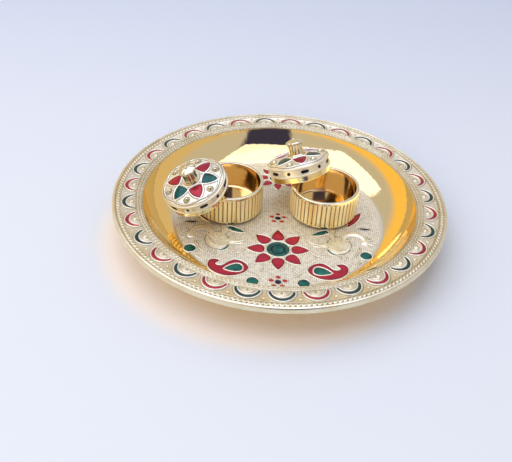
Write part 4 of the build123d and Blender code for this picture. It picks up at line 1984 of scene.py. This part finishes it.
@dataclass(frozen=True)
class Studio:
    """The pale table, the soft light and the photograph's camera.

    The room's and the onlooker's places are shares of a unit direction.
    """

    eye: Place = (-16.47, -362.63, 272.3)
    aim: Place = (-13.53, -37.83, 21.9)
    roll: float = 2.98
    focal_pixels: float = 729.0
    image_width: int = 512
    sensor_width: float = 36.0
    nearest: float = 10.0
    table_half: float = 4000.0
    table_tone: Colour = (0.725, 0.763, 0.800)
    table_roughness: float = 0.7
    table_shine: float = 0.2
    # Painted shade: the table darkens to this tone further back, and the camera sees it as the backdrop too.
    far_shade_tone: Colour = (0.585, 0.64, 0.75)
    far_shade_places: Point = (-50.0, 550.0)
    # Painted light: the warm glow on the table below the dish.
    painted_glow_tone: Colour = (0.93, 0.85, 0.77)
    painted_glow_middle: Place = (-10.0, -12.0, 0.0)
    painted_glow_radii: Point = (88.0, 103.0)
    upper_room: Colour = (0.56, 0.58, 0.74)
    low_left_room: Colour = (1.00, 0.68, 0.19)
    low_right_room: Colour = (0.68, 0.56, 0.40)
    low_room_sides: Point = (-0.5, 0.5)
    low_room_heights: Point = (0.30, 0.50)
    onlooker_tone: Colour = (0.044, 0.046, 0.15)
    onlooker_place: float = 0.16
    onlooker_half_widths: Point = (0.25, 0.325)
    onlooker_tops: Point = (0.86, 0.9632)
    onlooker_depths: Point = (-0.2, 0.0)
    lamps: Tuple[Lamp, ...] = (
        Lamp("ceiling_panel", (-290.0, 110.0, 1267.0), 2140.0, 12.0, colour=(0.96, 0.98, 1.0), mirrored=False),
        Lamp(
            "ceiling_glare", (-375.0, 115.0, 1250.0), 2050.0, 17.7, aspect=0.815, colour=(0.73, 0.78, 1.0),
            lighting=False, level=True),
        Lamp("window", (-1000.0, -100.0, 700.0), 900.0, 1.5, mirrored=False),
        Lamp("front_fill", (-200.0, -1300.0, 320.0), 1000.0, 7.5, colour=(1.0, 0.93, 0.84), mirrored=False))

    def table(self) -> None:
        """Makes the table, with a painted warm glow below the dish that stands in for the light the dish throws
        on it.
        """
        corners = self.table_half * MM * np.array([(-1, -1, 0), (1, -1, 0), (1, 1, 0), (-1, 1, 0)])
        mesh = bpy.data.meshes.new("table")
        mesh.from_pydata(corners.tolist(), [], [(0, 1, 2, 3)])
        sheet = Surface("table_white")
        place = sheet.place()
        _, depth, _ = sheet.axes(place)
        # Painted shade: the table darkens with distance behind the dish.
        near, far = [value * MM for value in self.far_shade_places]
        plain = sheet.mix(sheet.ramp(depth, near, far), self.table_tone, self.far_shade_tone)
        # Painted light: a warm patch round a point below the dish, fading out between two radii.
        offset = sheet.vector("SUBTRACT", place, tuple(value * MM for value in self.painted_glow_middle))
        inner, outer = [radius * MM for radius in self.painted_glow_radii]
        tone = sheet.mix(sheet.ramp(sheet.radius(offset), inner, outer), self.painted_glow_tone, plain)
        mesh.materials.append(sheet.finish(
            Base_Color=tone, Roughness=self.table_roughness, Specular_IOR_Level=self.table_shine))
        table = bpy.data.objects.new("table", mesh)
        bpy.context.scene.collection.objects.link(table)

    def light(self) -> None:
        """Makes the room's light, pale above and warm below with a dark onlooker in front, and the lamps."""
        world = bpy.data.worlds.new("soft_room")
        bpy.context.scene.world = world
        sheet = Sheet(world)
        across, ahead, up = sheet.axes(sheet.add("ShaderNodeTexCoord", {}, {}, "Generated"))
        low_room = sheet.mix(sheet.ramp(across, *self.low_room_sides), self.low_left_room, self.low_right_room)
        room = sheet.mix(sheet.ramp(up, *self.low_room_heights), low_room, self.upper_room)
        aside = sheet.maths("ABSOLUTE", across - self.onlooker_place)
        onlooker = 1 - sheet.ramp(aside, *self.onlooker_half_widths)
        onlooker = onlooker * (1 - sheet.ramp(up, *self.onlooker_tops))
        onlooker = onlooker * (1 - sheet.ramp(ahead, *self.onlooker_depths))
        mirrored = sheet.mix(onlooker, room, self.onlooker_tone)
        seen = sheet.add("ShaderNodeLightPath", {}, {}, "Is Camera Ray")
        background = sheet.add("ShaderNodeBackground", {}, {"Color": sheet.mix(seen, mirrored, self.far_shade_tone)})
        sheet.add("ShaderNodeOutputWorld", {}, {"Surface": background})
        for lamp in self.lamps:
            lamp.build()

    def camera(self) -> None:
        """Makes the camera: looking from the eye at the aim, turned about its own axis by the roll."""
        data = bpy.data.cameras.new("camera")
        data.sensor_width = self.sensor_width
        data.lens = self.focal_pixels / self.image_width * self.sensor_width
        data.clip_start = self.nearest * MM
        camera = bpy.data.objects.new("camera", data)
        ahead = (Vector(self.aim) - Vector(self.eye)).normalized()
        right = ahead.cross(Vector((0, 0, 1))).normalized()
        up = right.cross(ahead)
        roll = np.radians(self.roll)
        across = np.cos(roll) * right + np.sin(roll) * up
        upright = np.cos(roll) * up - np.sin(roll) * right
        axes = Matrix((across, upright, -ahead)).transposed().to_4x4()
        camera.matrix_world = Matrix.Translation(Vector(self.eye) * MM) @ axes
        bpy.context.scene.collection.objects.link(camera)
        bpy.context.scene.camera = camera

    def build(self) -> None:
        """Makes the stage."""
        self.table()
        self.light()
        self.camera()
        bpy.context.scene.view_settings.view_transform = "Standard"


def main() -> None:
    """Builds the thali and its stage."""
    logging.basicConfig(level=logging.INFO, format="%(name)s %(message)s")
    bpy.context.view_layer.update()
    plate, cells = Plate(), Cells()
    plate.build()
    Brim(plate, cells).build()
    Floor(plate, cells).build()
    Peacock(plate).build()
    lids = [
        Lid(Bowl(Side.LEFT), cells, reach=22.3, lean=-146.5, turn=-70.5),
        Lid(Bowl(Side.RIGHT), cells, reach=21.8, lean=135.0, turn=-78.6)]
    for lid in lids:
        lid.bowl.build()
        lid.build()
    Studio().build()


if __name__ == "__main__":
    main()
